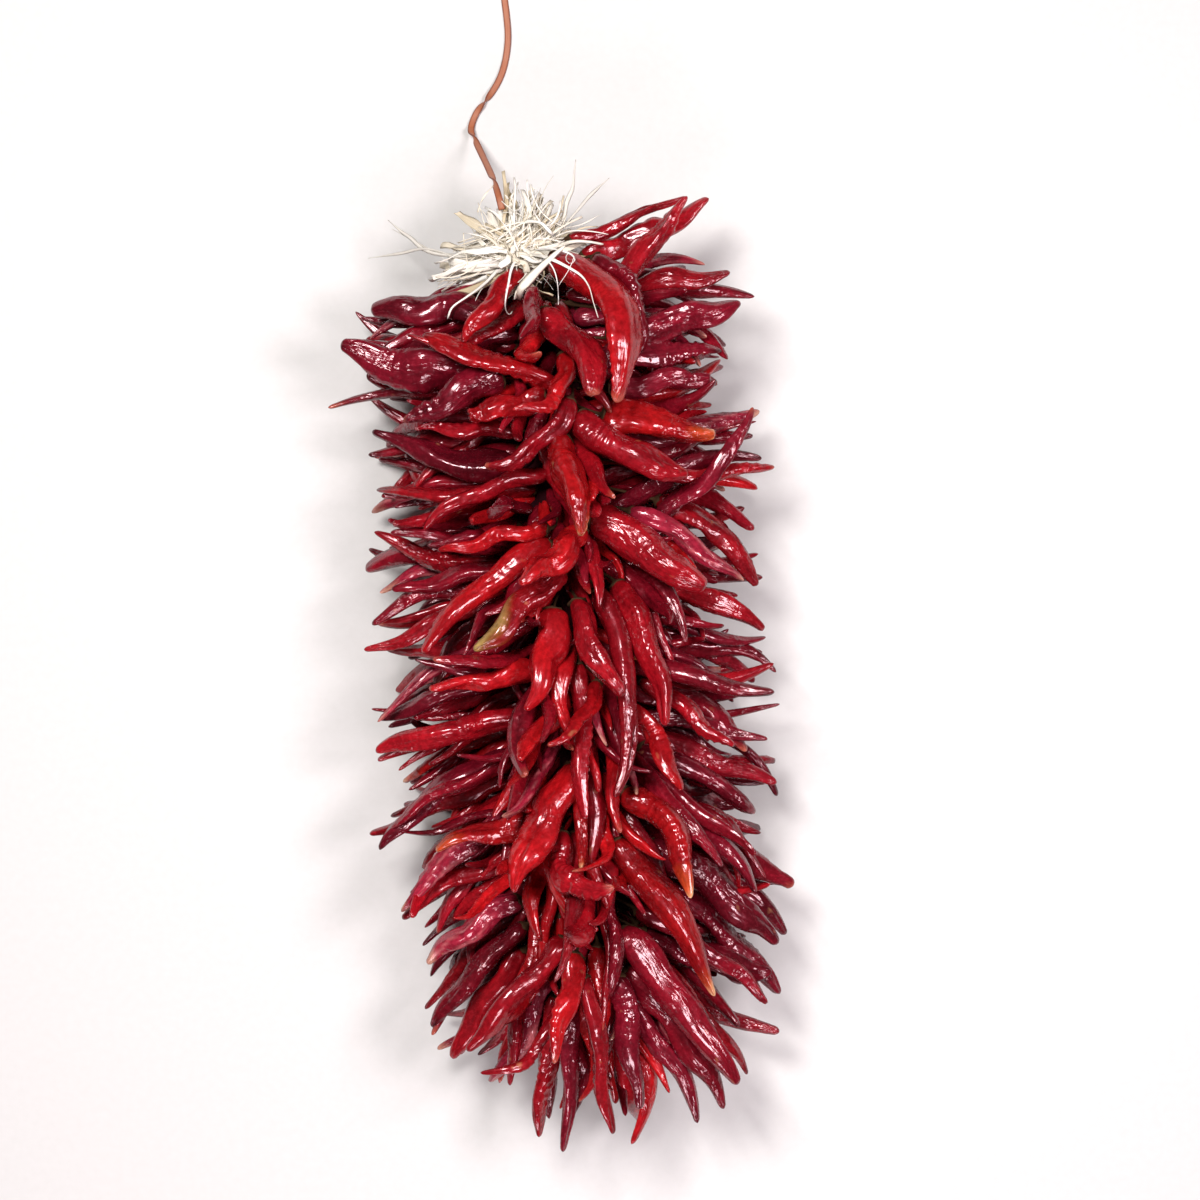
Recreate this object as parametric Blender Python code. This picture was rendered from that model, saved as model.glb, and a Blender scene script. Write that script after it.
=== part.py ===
"""A string of dried red chillies lying on its back, in metres, +Z up, its foot towards -Y.

Some 370 chillies stand out all round a string, tips drooping towards its foot. The top is tied off with a
bunch of torn corn husk, and a flat orange twine runs from the knot to a hanging loop. The pods below have
spread on the table, so the underside is flat and carries the origin.
"""

import math

import bmesh
import bpy
import numpy as np
from mathutils import Vector

OBJECT_NAME = "chilli_string"

# Driving dimensions
STRING_TOP = (-0.026, 0.288, 0.088)
STRING_FOOT = (0.018, -0.268, 0.088)
POD_COUNT = 430
POD_LENGTH = 0.122
POD_LENGTH_SPREAD = 0.017
POD_WIDTH = 0.0178
POD_WIDTH_SPREAD = 0.0028
STEM_PLACES = (0, 0.5, 0.75, 0.94, 1)
STEM_REACHES = (0.024, 0.024, 0.040, 0.040, 0.010)
DROOP_PLACES = (0, 0.2, 0.35, 0.5, 0.67, 0.8, 0.92, 1)
DROOP_DEGREES = (7, 4, 8, 13, 20, 31, 48, 78)
STEM_SHARES = (0.05, 0.95)
TIP_CEILING = 0.188
TOP_POD_SIDES = 5
FAN_POD_SIDES = 4
CORE_TOP_Y = 0.285
CORE_FOOT_Y = -0.290
CORE_AXIS_HEIGHT = 0.078
CORE_HALF_WIDTH = 0.086
CORE_HALF_HEIGHT = 0.066
CORE_FLAT_HALF_WIDTH = 0.078
SIDE_REACH = 0.122
HIGH_REACH = 0.145
FOOT_REACH = -0.33
FINE_POD_HEIGHT = 0.115
BESIDE_TIE = 0.33
POD_SHARES = np.array([0.14, 0.2, 0.6, 0.84, 1.0])
TIE_GAP = 0.0006
TWINE_WIDTH = 0.0056
TWINE_POINT_GAP = 2.2 * TWINE_WIDTH
TWINE_GAP = 0.0004
LOOP_LENGTH = 0.046
LOOP_WIDTH = 0.024
LOOP_CORD = 0.0046
LOOP_POINTS = 28
SEED = 11

# The bunch of torn husk: each lobe's two ends in millimetres, then its girth from end to end.
TIE_LOBES = (
    ((-76, 300, 96), (-14, 306, 100), (13, 22, 26, 24, 12)),
    ((-50, 304, 94), (-105, 294, 84), (13, 10, 13, 17)),
    ((-50, 308, 90), (-86, 326, 80), (12, 10, 14, 15)),
    ((-44, 306, 94), (-28, 356, 84), (14, 11, 15, 18)),
    ((-34, 306, 98), (10, 318, 94), (13, 10, 12, 13)),
    ((-40, 302, 104), (-30, 268, 138), (14, 12, 11, 8)),
    ((-48, 312, 94), (-56, 344, 88), (13, 9, 6)),
)

# The twine's route in millimetres, from the end of the tie's neck down to the table and along it.
TWINE_ROUTE = (
    (-56.1, 344.5, 87.9), (-59, 356, 85.8), (-63, 369, 73), (-68, 382, 54), (-74, 396, 34), (-80, 410, 16),
    (-84.5, 422, 6), (-80, 436, 3.2), (-70, 449, 3.2), (-61, 464, 3.2), (-56, 480, 3.2), (-54, 498, 3.2),
    (-55, 515, 3.2), (-57, 532, 3.2), (-58, 546, 3.2),
)

# The pods that lie on top, as they were arranged: shoulder, tip and sideways bow in millimetres, then width.
TOP_PODS = (
    ((-4, 318, 112), (84, 358, 100), (2, -6), 12),
    ((6, 306, 100), (107, 350, 92), (2, -8), 14),
    ((26, 268, 118), (88, 350, 132), (2, 2), 20),
    ((26, 282, 112), (122, 294, 108), (0, -3), 17),
    ((28, 236, 118), (136, 263, 122), (0, 2), 27),
    ((22, 226, 122), (117, 224, 120), (0, 4), 18),
    ((28, 200, 120), (112, 214, 122), (0, -2), 22),
    ((-2, 298, 138), (29, 186, 186), (26, 14), 33),
    ((14, 300, 130), (54, 226, 146), (14, 12), 20),
    ((-24, 258, 136), (25, 186, 184), (5, 6), 25),
    ((-40, 292, 120), (-82, 234, 148), (-2, 3), 16),
    ((-60, 254, 106), (-158, 262, 96), (0, 4), 23),
    ((-62, 214, 118), (-186, 237, 104), (0, -6), 29),
    ((-16, 192, 136), (-118, 236, 140), (4, 3), 20),
    ((-56, 218, 122), (-128, 168, 132), (0, 3), 28),
    ((-6, 226, 138), (-46, 176, 182), (14, -10), 15),
    ((-18, 196, 136), (-83, 172, 158), (0, 2), 17),
    ((-40, 166, 122), (-128, 172, 120), (0, -2), 14),
    ((-44, 136, 112), (-155, 166, 98), (0, -9), 26),
    ((6, 184, 140), (-70, 134, 162), (10, -8), 17),
    ((18, 172, 134), (118, 163, 132), (0, 1), 28),
    ((2, 180, 136), (90, 128, 156), (-4, -7), 28),
    ((46, 140, 118), (162, 142, 108), (0, -9), 14),
    ((66, 96, 118), (141, 182, 132), (10, -8), 15),
    ((-8, 160, 140), (8, 84, 190), (2, 3), 27),
    ((12, 96, 138), (104, 38, 164), (0, 4), 31),
    ((44, 104, 120), (136, 44, 122), (2, 4), 15),
    ((66, 112, 108), (149, 46, 98), (7, 7), 18),
    ((-6, 54, 138), (-71, -12, 168), (0, 4), 18),
    ((14, 92, 140), (-40, 44, 192), (4, -2), 20),
    ((-14, 76, 130), (-118, -8, 146), (-2, 10), 18),
    ((-18, 132, 126), (-118, 92, 134), (0, 6), 17),
    ((-18, 88, 132), (-103, 67, 150), (0, 3), 16),
    ((-14, 24, 138), (-35, -52, 178), (4, 0), 26),
    ((-26, -22, 134), (-114, -32, 152), (0, -5), 18),
    ((4, 32, 140), (36, -38, 186), (-2, -4), 21),
    ((20, 42, 134), (42, -120, 180), (14, 0), 20),
    ((34, 46, 126), (74, -64, 158), (4, 6), 23),
    ((18, -32, 138), (-16, -78, 190), (6, -6), 13),
    ((6, -16, 136), (12, -140, 172), (0, 0), 16),
    ((44, -50, 128), (85, -122, 162), (3, 4), 15),
    ((54, -30, 118), (122, -88, 142), (2, 4), 17),
    ((-14, -146, 132), (-103, -160, 158), (0, 4), 19),
    ((4, -98, 138), (-46, -192, 186), (0, 2), 27),
    ((-8, -150, 140), (28, -192, 190), (-13, -14), 21),
    ((30, -156, 132), (117, -280, 150), (2, 8), 27),
    ((40, -120, 130), (92, -200, 172), (14, 12), 25),
    ((60, -160, 112), (164, -244, 98), (4, 9), 23),
    ((-36, -62, 116), (-155, -86, 116), (0, 2), 21),
    ((-44, -92, 104), (-154, -168, 98), (-6, 8), 19),
    ((-46, -110, 88), (-163, -158, 84), (0, 2), 16),
    ((-50, -138, 112), (-133, -208, 108), (0, 4), 20),
    ((-40, -206, 100), (-118, -262, 92), (0, 4), 20),
    ((-36, -246, 88), (-100, -338, 84), (0, 4), 20),
    ((60, -196, 84), (166, -284, 80), (4, 6), 26),
    ((56, -232, 92), (158, -262, 84), (0, -4), 22),
    ((52, -86, 100), (149, -140, 94), (2, 4), 22),
    ((50, -60, 92), (153, -81, 88), (0, 4), 17),
    ((-50, -30, 104), (-151, -64, 98), (0, 2), 16),
    ((-50, 36, 96), (-163, -16, 90), (0, 4), 13),
    ((-44, 58, 108), (-142, 36, 106), (0, 3), 17),
    ((58, 50, 104), (158, 8, 98), (2, 4), 18),
    ((-46, -96, 112), (-146, -146, 106), (0, 4), 17),
    ((50, -214, 104), (160, -290, 96), (2, 3), 20),
    ((36, -262, 112), (122, -366, 104), (4, 4), 20),
    ((-36, -226, 104), (-110, -312, 98), (-4, 4), 19),
    ((-52, 62, 92), (-158, 88, 90), (-2, -8), 16),
    ((-16, -280, 98), (-26, -400, 88), (0, 0), 15),
    ((0, -288, 122), (-6, -402, 108), (2, 0), 15),
    ((10, -262, 138), (27, -388, 142), (5, 0), 19),
    ((34, -262, 124), (55, -370, 122), (0, 0), 21),
    ((44, -276, 108), (105, -384, 96), (0, 3), 15),
    ((36, -228, 122), (129, -352, 122), (0, 4), 29),
    ((-4, -276, 132), (-64, -336, 166), (6, -14), 15),
    ((4, -244, 140), (-15, -324, 172), (0, 0), 19),
    ((-4, -234, 132), (-78, -322, 144), (0, 4), 23),
)


def unit(vectors):
    """Each row at length one."""
    return vectors / np.linalg.norm(vectors, axis=-1, keepdims=True)


def girth(t):
    """Share of a pod's half-width at t of its length: a round shoulder, a full body, then a blunt tip."""
    shoulder = np.sqrt(np.clip(1 - (1 - np.clip(t / 0.13, 0, 1)) ** 2, 0, 1))
    taper = 1 - 0.78 * np.clip((t - 0.28) / 0.72, 0, 1) ** 1.9
    return np.maximum(shoulder * taper, 0.02)


def centreline(pods, t):
    """Points of every pod at the shares t: a chord bowed to one side, its last third hooked."""
    t = np.asarray(t, float)
    chord = pods["shoulder"][:, None] + (pods["tip"] - pods["shoulder"])[:, None] * t[:, None]
    bow = pods["bow"][:, None] * (4 * t * (1 - t))[:, None]
    hook = pods["hook"][:, None] * (np.clip((t - 0.62) / 0.38, 0, 1) ** 2)[:, None]
    ease = np.stack([0.6 + 0 * t, t, t * t], 1)
    return chord + bow + hook + np.einsum("kj,njc->nkc", ease, pods["shift"])


def fan_pods(rng):
    """Pods set round the string by the golden angle, level at the top and hanging at the foot."""
    top, foot = np.array(STRING_TOP), np.array(STRING_FOOT)
    down_way, out_way = unit(foot - top), np.array([0.0, 0.0, 1.0])
    right_way = np.cross(down_way, out_way)
    count = np.arange(POD_COUNT)
    down = np.clip((count + 0.5) / POD_COUNT + rng.normal(0, 0.007, POD_COUNT), 0, 1)
    around = count * math.radians(137.508) + rng.normal(0, 0.12, POD_COUNT)
    over = np.sin(around)
    droop = np.radians(np.interp(down, DROOP_PLACES, DROOP_DEGREES))
    droop += math.radians(34) * np.clip(over, 0, 1) ** 2 + rng.normal(0, math.radians(12), POD_COUNT)
    outward = np.cos(around)[:, None] * right_way + over[:, None] * out_way
    swing = around + rng.normal(0, 0.30, POD_COUNT)
    rise = np.sin(swing) * np.where(over < 0, 0.42, 1)
    heading = np.cos(swing)[:, None] * right_way + rise[:, None] * out_way
    along = unit(np.cos(droop)[:, None] * heading + np.sin(droop)[:, None] * down_way)
    length = np.clip(rng.normal(POD_LENGTH, POD_LENGTH_SPREAD, POD_COUNT), 0.078, 0.148)
    width = np.clip(rng.normal(POD_WIDTH, POD_WIDTH_SPREAD, POD_COUNT), 0.0115, 0.026)
    reach = np.interp(down, STEM_PLACES, STEM_REACHES)
    shoulder = top + down[:, None] * (foot - top) + reach[:, None] * outward * [1, 1, 0.8]
    aside = unit(np.cross(along, rng.normal(size=(POD_COUNT, 3))))
    bow = aside * rng.normal(0, 0.012, POD_COUNT)[:, None]
    hook = unit(np.cross(along, rng.normal(size=(POD_COUNT, 3)))) * rng.normal(0, 0.015, POD_COUNT)[:, None]
    tip = shoulder + along * length[:, None]
    tip[:, 2] = np.minimum(tip[:, 2], TIP_CEILING)
    return {"shoulder": shoulder, "tip": tip, "bow": bow, "hook": hook,
            "width": width * (length / POD_LENGTH) ** 0.5, "shift": np.zeros((POD_COUNT, 3, 3))}


def top_pods(rng):
    """The pods of TOP_PODS in the same form, each with a small hook of its own."""
    rows = len(TOP_PODS)
    bow = np.array([(x, y, 3) for _, _, (x, y), _ in TOP_PODS]) / 1000
    return {"shoulder": np.array([row[0] for row in TOP_PODS]) / 1000,
            "tip": np.array([row[1] for row in TOP_PODS]) / 1000, "bow": bow,
            "hook": rng.normal(0, 0.003, (rows, 3)), "width": np.array([row[3] for row in TOP_PODS]) / 1000,
            "shift": np.zeros((rows, 3, 3))}


def clear_of(fan, top, t):
    """Which fan pods lie over none of the top pods, seen from above."""
    a, b = centreline(fan, t), centreline(top, t)
    ra, rb = girth(t) * fan["width"][:, None] / 2, girth(t) * top["width"][:, None] / 2
    plan = np.linalg.norm(a[:, :, None, None, :2] - b[None, None, :, :, :2], axis=-1)
    over = a[:, :, None, None, 2] > b[None, None, :, :, 2] + 0.002
    touching = plan < (ra[:, :, None, None] + rb[None, None]) * 0.8
    return ~(over & touching).any(axis=(1, 2, 3))


def ease_apart(pods, stiff, rounds=80):
    """Moves and bends the pods until balls strung along them no longer overlap, each above the table."""
    t = np.linspace(0.05, 0.97, 9)
    basis = np.stack([0.6 + 0 * t, t, t * t], 1)
    fit = np.linalg.solve(basis.T @ basis + 0.15 * np.eye(3), basis.T)
    radius = (girth(t) * pods["width"][:, None] / 2 * 0.92).reshape(-1)
    owner = np.repeat(np.arange(len(pods["width"])), len(t))
    give = np.where(stiff, 0.12, 1.0)[owner]
    for _ in range(rounds):
        x = centreline(pods, t).reshape(-1, 3)
        square = (x * x).sum(1)
        apart = square[:, None] + square - 2 * x @ x.T
        near = (apart < (radius[:, None] + radius) ** 2) & (owner[:, None] < owner)
        a, b = np.nonzero(near)
        gap = x[b] - x[a]
        dist = np.maximum(np.linalg.norm(gap, axis=1), 1e-5)
        push = gap / dist[:, None] * (radius[a] + radius[b] - dist)[:, None] / 2
        share = (give[a] / (give[a] + give[b]))[:, None]
        move = np.zeros_like(x)
        np.add.at(move, a, -push * share)
        np.add.at(move, b, push * (1 - share))
        move /= np.sqrt(1 + np.bincount(np.concatenate([a, b]), minlength=len(x)))[:, None]
        move[:, 2] += np.clip(radius - x[:, 2] - move[:, 2], 0, None)
        pods["shift"] = pods["shift"] + np.einsum("jk,nkc->njc", fit, move.reshape(-1, len(t), 3))
    return pods


def rest_on_table(pods):
    """Lifts each pod that still dips below the table."""
    t = np.linspace(0, 1, 25)
    low = centreline(pods, t)[:, :, 2] - girth(t) * pods["width"][:, None] / 2
    pods["shift"][:, 0, 2] += np.clip(0.0006 - low.min(axis=1), 0, None) / 0.6
    return pods


def arrange():
    """Every pod of the string, the top ones last."""
    rng = np.random.default_rng(SEED)
    fan, top = fan_pods(rng), top_pods(rng)
    keep = clear_of(fan, top, np.linspace(0.2, 1, 7))
    pods = {name: np.concatenate([fan[name][keep], top[name]]) for name in fan}
    stiff = np.arange(len(pods["width"])) >= keep.sum()
    return rest_on_table(ease_apart(pods, stiff)), stiff


def collection(name, hidden=False):
    """A new collection in the scene."""
    made = bpy.data.collections.new(name)
    bpy.context.scene.collection.children.link(made)
    made.hide_render = hidden
    return made


def material(name, colour, roughness):
    """A plain Principled material."""
    made = bpy.data.materials.new(name)
    made.use_nodes = True
    shader = made.node_tree.nodes["Principled BSDF"]
    shader.inputs["Base Color"].default_value = (*colour, 1)
    shader.inputs["Roughness"].default_value = roughness
    made.diffuse_color = (*colour, 1)
    return made


def mesh_object(name, verts, faces, group, surface=None):
    """A mesh object with its faces turned outward."""
    mesh = bpy.data.meshes.new(name)
    mesh.from_pydata([tuple(map(float, v)) for v in verts], [], faces)
    shape = bmesh.new()
    shape.from_mesh(mesh)
    bmesh.ops.recalc_face_normals(shape, faces=shape.faces)
    shape.to_mesh(mesh)
    shape.free()
    made = bpy.data.objects.new(name, mesh)
    group.objects.link(made)
    if surface:
        mesh.materials.append(surface)
    return made


def rings_to_faces(rings, sides, first=0):
    """Quads between successive rings."""
    faces = []
    for ring in range(rings - 1):
        for side in range(sides):
            a = first + ring * sides + side
            b = first + ring * sides + (side + 1) % sides
            faces.append((a, b, b + sides, a + sides))
    return faces


def frames_along(points):
    """Two unit vectors across each point of a route, turning as little as they can."""
    ahead = unit(np.gradient(points, axis=0))
    start = np.cross(ahead[0], (0, 0, 1) if abs(ahead[0][2]) < 0.9 else (1, 0, 0))
    across = [start / np.linalg.norm(start)]
    for way in ahead[1:]:
        turned = across[-1] - way * (across[-1] @ way)
        across.append(turned / np.linalg.norm(turned))
    across = np.array(across)
    return across, np.cross(ahead, across)


def spindle(points, radii, sides, turn=0.0):
    """Verts and faces of a closed spindle: its first and last points are its two ends."""
    across, up = frames_along(points)
    verts = [points[0]]
    for k in range(1, len(points) - 1):
        for side in range(sides):
            angle = turn + 2 * math.pi * side / sides
            verts.append(points[k] + radii[k] * (math.cos(angle) * across[k] + math.sin(angle) * up[k]))
    verts.append(points[-1])
    last = len(verts) - 1
    faces = rings_to_faces(len(points) - 2, sides, 1)
    for side in range(sides):
        following = (side + 1) % sides
        faces.append((0, 1 + following, 1 + side))
        faces.append((last, last - sides + side, last - sides + following))
    return verts, faces


def bunch_core():
    """The crowded middle of the bunch: a long loaf, flat below, rounded at both ends."""
    sides, rings = 16, 14
    verts = []
    for k in range(rings):
        share = (k + 0.35) / (rings - 0.3)
        y = CORE_TOP_Y + (CORE_FOOT_Y - CORE_TOP_Y) * share
        x = STRING_TOP[0] + (STRING_FOOT[0] - STRING_TOP[0]) * share
        full = (1 - abs(2 * share - 1) ** 3.2) ** 0.42
        wide, high = CORE_HALF_WIDTH * full, CORE_HALF_HEIGHT * full
        for side in range(sides):
            angle = 2 * math.pi * side / sides
            z = CORE_AXIS_HEIGHT + high * math.sin(angle)
            if math.sin(angle) < -0.5:
                reach = CORE_FLAT_HALF_WIDTH * full * math.cos(angle) / 0.81
                verts.append((x + reach, y, 0.0))
            else:
                verts.append((x + wide * math.cos(angle), y, z))
    faces = rings_to_faces(rings, sides)
    faces.append(tuple(range(sides))[::-1])
    faces.append(tuple(range((rings - 1) * sides, rings * sides)))
    return verts, faces


def barrel(start, end, girths, sides=9, grow=0.0):
    """Verts and faces of a closed barrel with flat ends from start to end, its surface moved out by grow."""
    start, end = Vector(start), Vector(end)
    ahead = (end - start).normalized()
    across = ahead.orthogonal().normalized()
    up = ahead.cross(across)
    start, end = start - ahead * grow, end + ahead * grow
    verts = []
    for k, girth_here in enumerate(girths):
        middle = start.lerp(end, k / (len(girths) - 1))
        for side in range(sides):
            angle = 2 * math.pi * side / sides
            verts.append(middle + (girth_here + grow) * (math.cos(angle) * across + math.sin(angle) * up))
    faces = rings_to_faces(len(girths), sides)
    faces.append(tuple(range(sides))[::-1])
    faces.append(tuple(range(len(verts) - sides, len(verts))))
    return verts, faces


def boolean(target, name, operation, other):
    """A Boolean of a whole collection, or of one object, on the target."""
    made = target.modifiers.new(name, "BOOLEAN")
    made.operation = operation
    made.solver = "EXACT"
    if isinstance(other, bpy.types.Collection):
        made.operand_type = "COLLECTION"
        made.collection = other
    else:
        made.object = other
    return made


def tie_lobes(group, surface, name, grow=0.0):
    """The lobes of the husk tie, the first named as given; each is moved out by grow."""
    made = []
    for number, (start, end, girths) in enumerate(TIE_LOBES):
        ends = [[v / 1000 for v in point] for point in (start, end)]
        verts, faces = barrel(*ends, [g / 1000 for g in girths], grow=grow)
        made.append(mesh_object(f"{name}_{number}", verts, faces, group, surface))
    return made


def husk_tie(group, surface):
    """The knot of torn husk over the top of the string, as one solid."""
    lobes = collection("tie_lobes", hidden=True)
    made = tie_lobes(lobes, surface, "tie_lobe")
    knot = made[0]
    lobes.objects.unlink(knot)
    group.objects.link(knot)
    knot.name = knot.data.name = "husk_tie"
    boolean(knot, "lobes", "UNION", lobes)
    return knot


def smooth_route(points, gap):
    """Points at equal gaps along a Catmull-Rom curve through the given ones."""
    points = np.asarray(points, float)
    ends = np.concatenate([[2 * points[0] - points[1]], points, [2 * points[-1] - points[-2]]])
    u = np.linspace(0, 1, 24, endpoint=False)[:, None]
    fine = []
    for a, b, c, d in zip(ends, ends[1:], ends[2:], ends[3:]):
        square, cube = 2 * a - 5 * b + 4 * c - d, 3 * b - a - 3 * c + d
        fine.append(0.5 * (2 * b + (c - a) * u + square * u**2 + cube * u**3))
    fine = np.concatenate(fine + [points[-1:]])
    run = np.concatenate([[0], np.cumsum(np.linalg.norm(np.diff(fine, axis=0), axis=1))])
    at = np.linspace(0, run[-1], max(3, round(run[-1] / gap) + 1))
    return np.stack([np.interp(at, run, fine[:, k]) for k in range(3)], 1)


def tube(name, points, width, closed, group, surface):
    """A round tube on a POLY spline."""
    curve = bpy.data.curves.new(name, "CURVE")
    curve.dimensions = "3D"
    curve.bevel_depth = width / 2
    curve.bevel_resolution = 2
    curve.use_fill_caps = not closed
    spline = curve.splines.new("POLY")
    spline.points.add(len(points) - 1)
    for place, point in zip(spline.points, points):
        place.co = (*point, 1)
    spline.use_cyclic_u = closed
    made = bpy.data.objects.new(name, curve)
    curve.materials.append(surface)
    group.objects.link(made)
    return made


def hanging_twine(group, surface):
    """The twine from the tie's neck to the loop."""
    route = smooth_route(np.array(TWINE_ROUTE) / 1000, TWINE_POINT_GAP)
    return tube("hanging_twine", route, TWINE_WIDTH, False, group, surface)


def twine_loop(group, cutters, surface):
    """The hanging loop and its knot, lying on the table past the twine's end."""
    end = Vector(TWINE_ROUTE[-1]) / 1000
    ahead = (end - Vector(TWINE_ROUTE[-2]) / 1000).normalized()
    aside = Vector((ahead.y, -ahead.x, 0))
    knot_half = 0.0055
    middle = end + ahead * (TWINE_GAP + 2 * knot_half + LOOP_LENGTH / 2 - 0.003)
    ring = []
    for k in range(LOOP_POINTS):
        turn = 2 * math.pi * k / LOOP_POINTS
        point = middle + ahead * (LOOP_LENGTH / 2 * math.cos(turn)) + aside * (LOOP_WIDTH / 2 * math.sin(turn))
        ring.append((point.x, point.y, LOOP_CORD / 2 + 0.0003))
    eye = tube("twine_eye", ring, LOOP_CORD, True, cutters, surface)
    bpy.context.view_layer.update()
    shape = bpy.data.meshes.new_from_object(eye.evaluated_get(bpy.context.evaluated_depsgraph_get()))
    bpy.data.objects.remove(eye, do_unlink=True)
    eye = bpy.data.objects.new("twine_eye", shape)
    cutters.objects.link(eye)
    start = end + ahead * TWINE_GAP
    girths = (0.0030, 0.0046, 0.0050, 0.0046, 0.0030)
    start.z = 0.0052
    finish = start + ahead * 2 * knot_half
    knot = mesh_object("twine_loop", *barrel(start, finish, girths), group, surface)
    boolean(knot, "eye", "UNION", eye)
    return knot


def pod_spike(stem, middle, width, fine, turn):
    """One pod as a coarse spindle that starts at the string; a fine one has one more ring and side."""
    rings = [0, 2, 3] if fine else [1, 2]
    points = np.concatenate([[stem], middle[rings], middle[-1:]])
    radii = np.concatenate([[0], girth(POD_SHARES[rings]) * width / 2, [0]])
    return spindle(points, radii, TOP_POD_SIDES if fine else FAN_POD_SIDES, turn)


def chillies(group, cutters, surface):
    """The whole bunch as one solid: the core with every pod standing out of it."""
    pods, on_top = arrange()
    top, foot = np.array(STRING_TOP), np.array(STRING_FOOT)
    lines = centreline(pods, POD_SHARES)
    share = np.clip((lines[:, 0] - top) @ (foot - top) / ((foot - top) @ (foot - top)) - 0.02, *STEM_SHARES)
    stems = top + share[:, None] * (foot - top)
    core = mesh_object("chillies", *bunch_core(), group, surface)
    tips = lines[:, -1]
    aside = np.abs(tips[:, 0] - stems[:, 0])
    stands_out = on_top | (aside > SIDE_REACH) | (tips[:, 2] > HIGH_REACH) | (tips[:, 1] < FOOT_REACH)
    fine = on_top & ((tips[:, 2] > FINE_POD_HEIGHT) | (tips[:, 1] > BESIDE_TIE))
    for number in np.flatnonzero(stands_out):
        spike = pod_spike(stems[number], lines[number], pods["width"][number], fine[number], number * 0.7)
        mesh_object(f"pod_{number:03d}", *spike, cutters)
    boolean(core, "pods", "UNION", cutters)
    room = collection("tie_room", hidden=True)
    tie_lobes(room, surface, "tie_room", grow=TIE_GAP)
    boolean(core, "room_for_tie", "DIFFERENCE", room)
    return core


def main():
    for old in list(bpy.data.objects):
        bpy.data.objects.remove(old, do_unlink=True)
    parts = collection(OBJECT_NAME)
    skin = material("dried_chilli_skin", (0.21, 0.010, 0.015), 0.32)
    husk = material("corn_husk", (0.78, 0.70, 0.55), 0.85)
    twine = material("orange_twine", (0.60, 0.24, 0.13), 0.6)
    chillies(parts, collection("pods", hidden=True), skin)
    husk_tie(parts, husk)
    hanging_twine(parts, twine)
    twine_loop(parts, collection("loop_pieces", hidden=True), twine)
    for helper in bpy.data.objects:
        if helper.name not in parts.objects:
            helper.display_type = "WIRE"
            helper.hide_render = True


main()
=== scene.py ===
"""A string of dried red chillies, laid on its back with the shown side up.

The sections follow the string as it is put together: the room and camera, the orange twine and its loop, the pods,
their stems, the cord inside them, and the torn corn husk that ties off the top. The frame is in metres, +Z up, +Y
towards the tie.
"""

import math

import bpy
import numpy as np
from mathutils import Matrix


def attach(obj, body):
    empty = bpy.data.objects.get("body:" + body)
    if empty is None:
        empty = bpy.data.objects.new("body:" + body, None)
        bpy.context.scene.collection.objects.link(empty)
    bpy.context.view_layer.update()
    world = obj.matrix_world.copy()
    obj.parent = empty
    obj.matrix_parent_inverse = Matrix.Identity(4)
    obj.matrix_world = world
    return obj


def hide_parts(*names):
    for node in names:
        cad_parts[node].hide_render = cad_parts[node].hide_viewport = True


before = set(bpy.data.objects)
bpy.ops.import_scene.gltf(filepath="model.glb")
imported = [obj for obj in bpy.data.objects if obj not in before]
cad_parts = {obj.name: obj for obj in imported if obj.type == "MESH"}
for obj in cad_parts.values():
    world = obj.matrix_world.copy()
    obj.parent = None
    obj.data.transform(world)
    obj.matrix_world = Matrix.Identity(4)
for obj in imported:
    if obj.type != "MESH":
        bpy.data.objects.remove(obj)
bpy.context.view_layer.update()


# ---------------------------------------------------------------------------------------------------------------------
# The room: a plain near-white sweep, two large soft boxes beside the camera and a weaker one past the foot of the
# string. The camera hangs straight above, with a long lens, as the string is shown from the front.

def linear(hex_colour):
    """An sRGB hex colour as linear RGBA, by the two-part sRGB curve."""
    parts = [int(hex_colour[k:k + 2], 16) / 255 for k in (1, 3, 5)]
    return tuple(c / 12.92 if c <= 0.04045 else ((c + 0.055) / 1.055) ** 2.4 for c in parts) + (1.0,)


def new_material(name):
    """An empty node material: returns it, its tree, and its Principled shader joined to the output."""
    made = bpy.data.materials.new(name)
    made.use_nodes = True
    tree = made.node_tree
    tree.nodes.clear()
    shader = tree.nodes.new("ShaderNodeBsdfPrincipled")
    output = tree.nodes.new("ShaderNodeOutputMaterial")
    tree.links.new(shader.outputs[0], output.inputs[0])
    return made, tree, shader


def set_inputs(tree, node, **inputs):
    """Sets each named input of a node to a value, or links it from a socket; i0, i1 and so on stand for its
    number."""
    for name, value in inputs.items():
        key = int(name[1:]) if name[0] == "i" and name[1:].isdigit() else name.replace("_", " ")
        if isinstance(value, bpy.types.NodeSocket):
            tree.links.new(value, node.inputs[key])
        else:
            node.inputs[key].default_value = value
    return node


def add_node(tree, kind, settings=None, **inputs):
    """One node of a kind, with its settings and its inputs."""
    node = tree.nodes.new(kind)
    for name, value in (settings or {}).items():
        setattr(node, name, value)
    return set_inputs(tree, node, **inputs)


SWEEP_HALF = 3
CAMERA_AIM = (0.0224, 0.032, 0.090)
CAMERA_HEIGHT = 2.40
SHOWN_WIDTH = 0.96
SENSOR_MM = 36

camera = bpy.data.cameras.new("camera")
camera.sensor_width = SENSOR_MM
camera.lens = SENSOR_MM * CAMERA_HEIGHT / SHOWN_WIDTH
camera.clip_end = 20
camera_object = bpy.data.objects.new("camera", camera)
camera_object.location = (CAMERA_AIM[0], CAMERA_AIM[1], CAMERA_AIM[2] + CAMERA_HEIGHT)
bpy.context.scene.collection.objects.link(camera_object)
bpy.context.scene.camera = camera_object
bpy.context.scene.view_settings.view_transform = "Standard"


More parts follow.
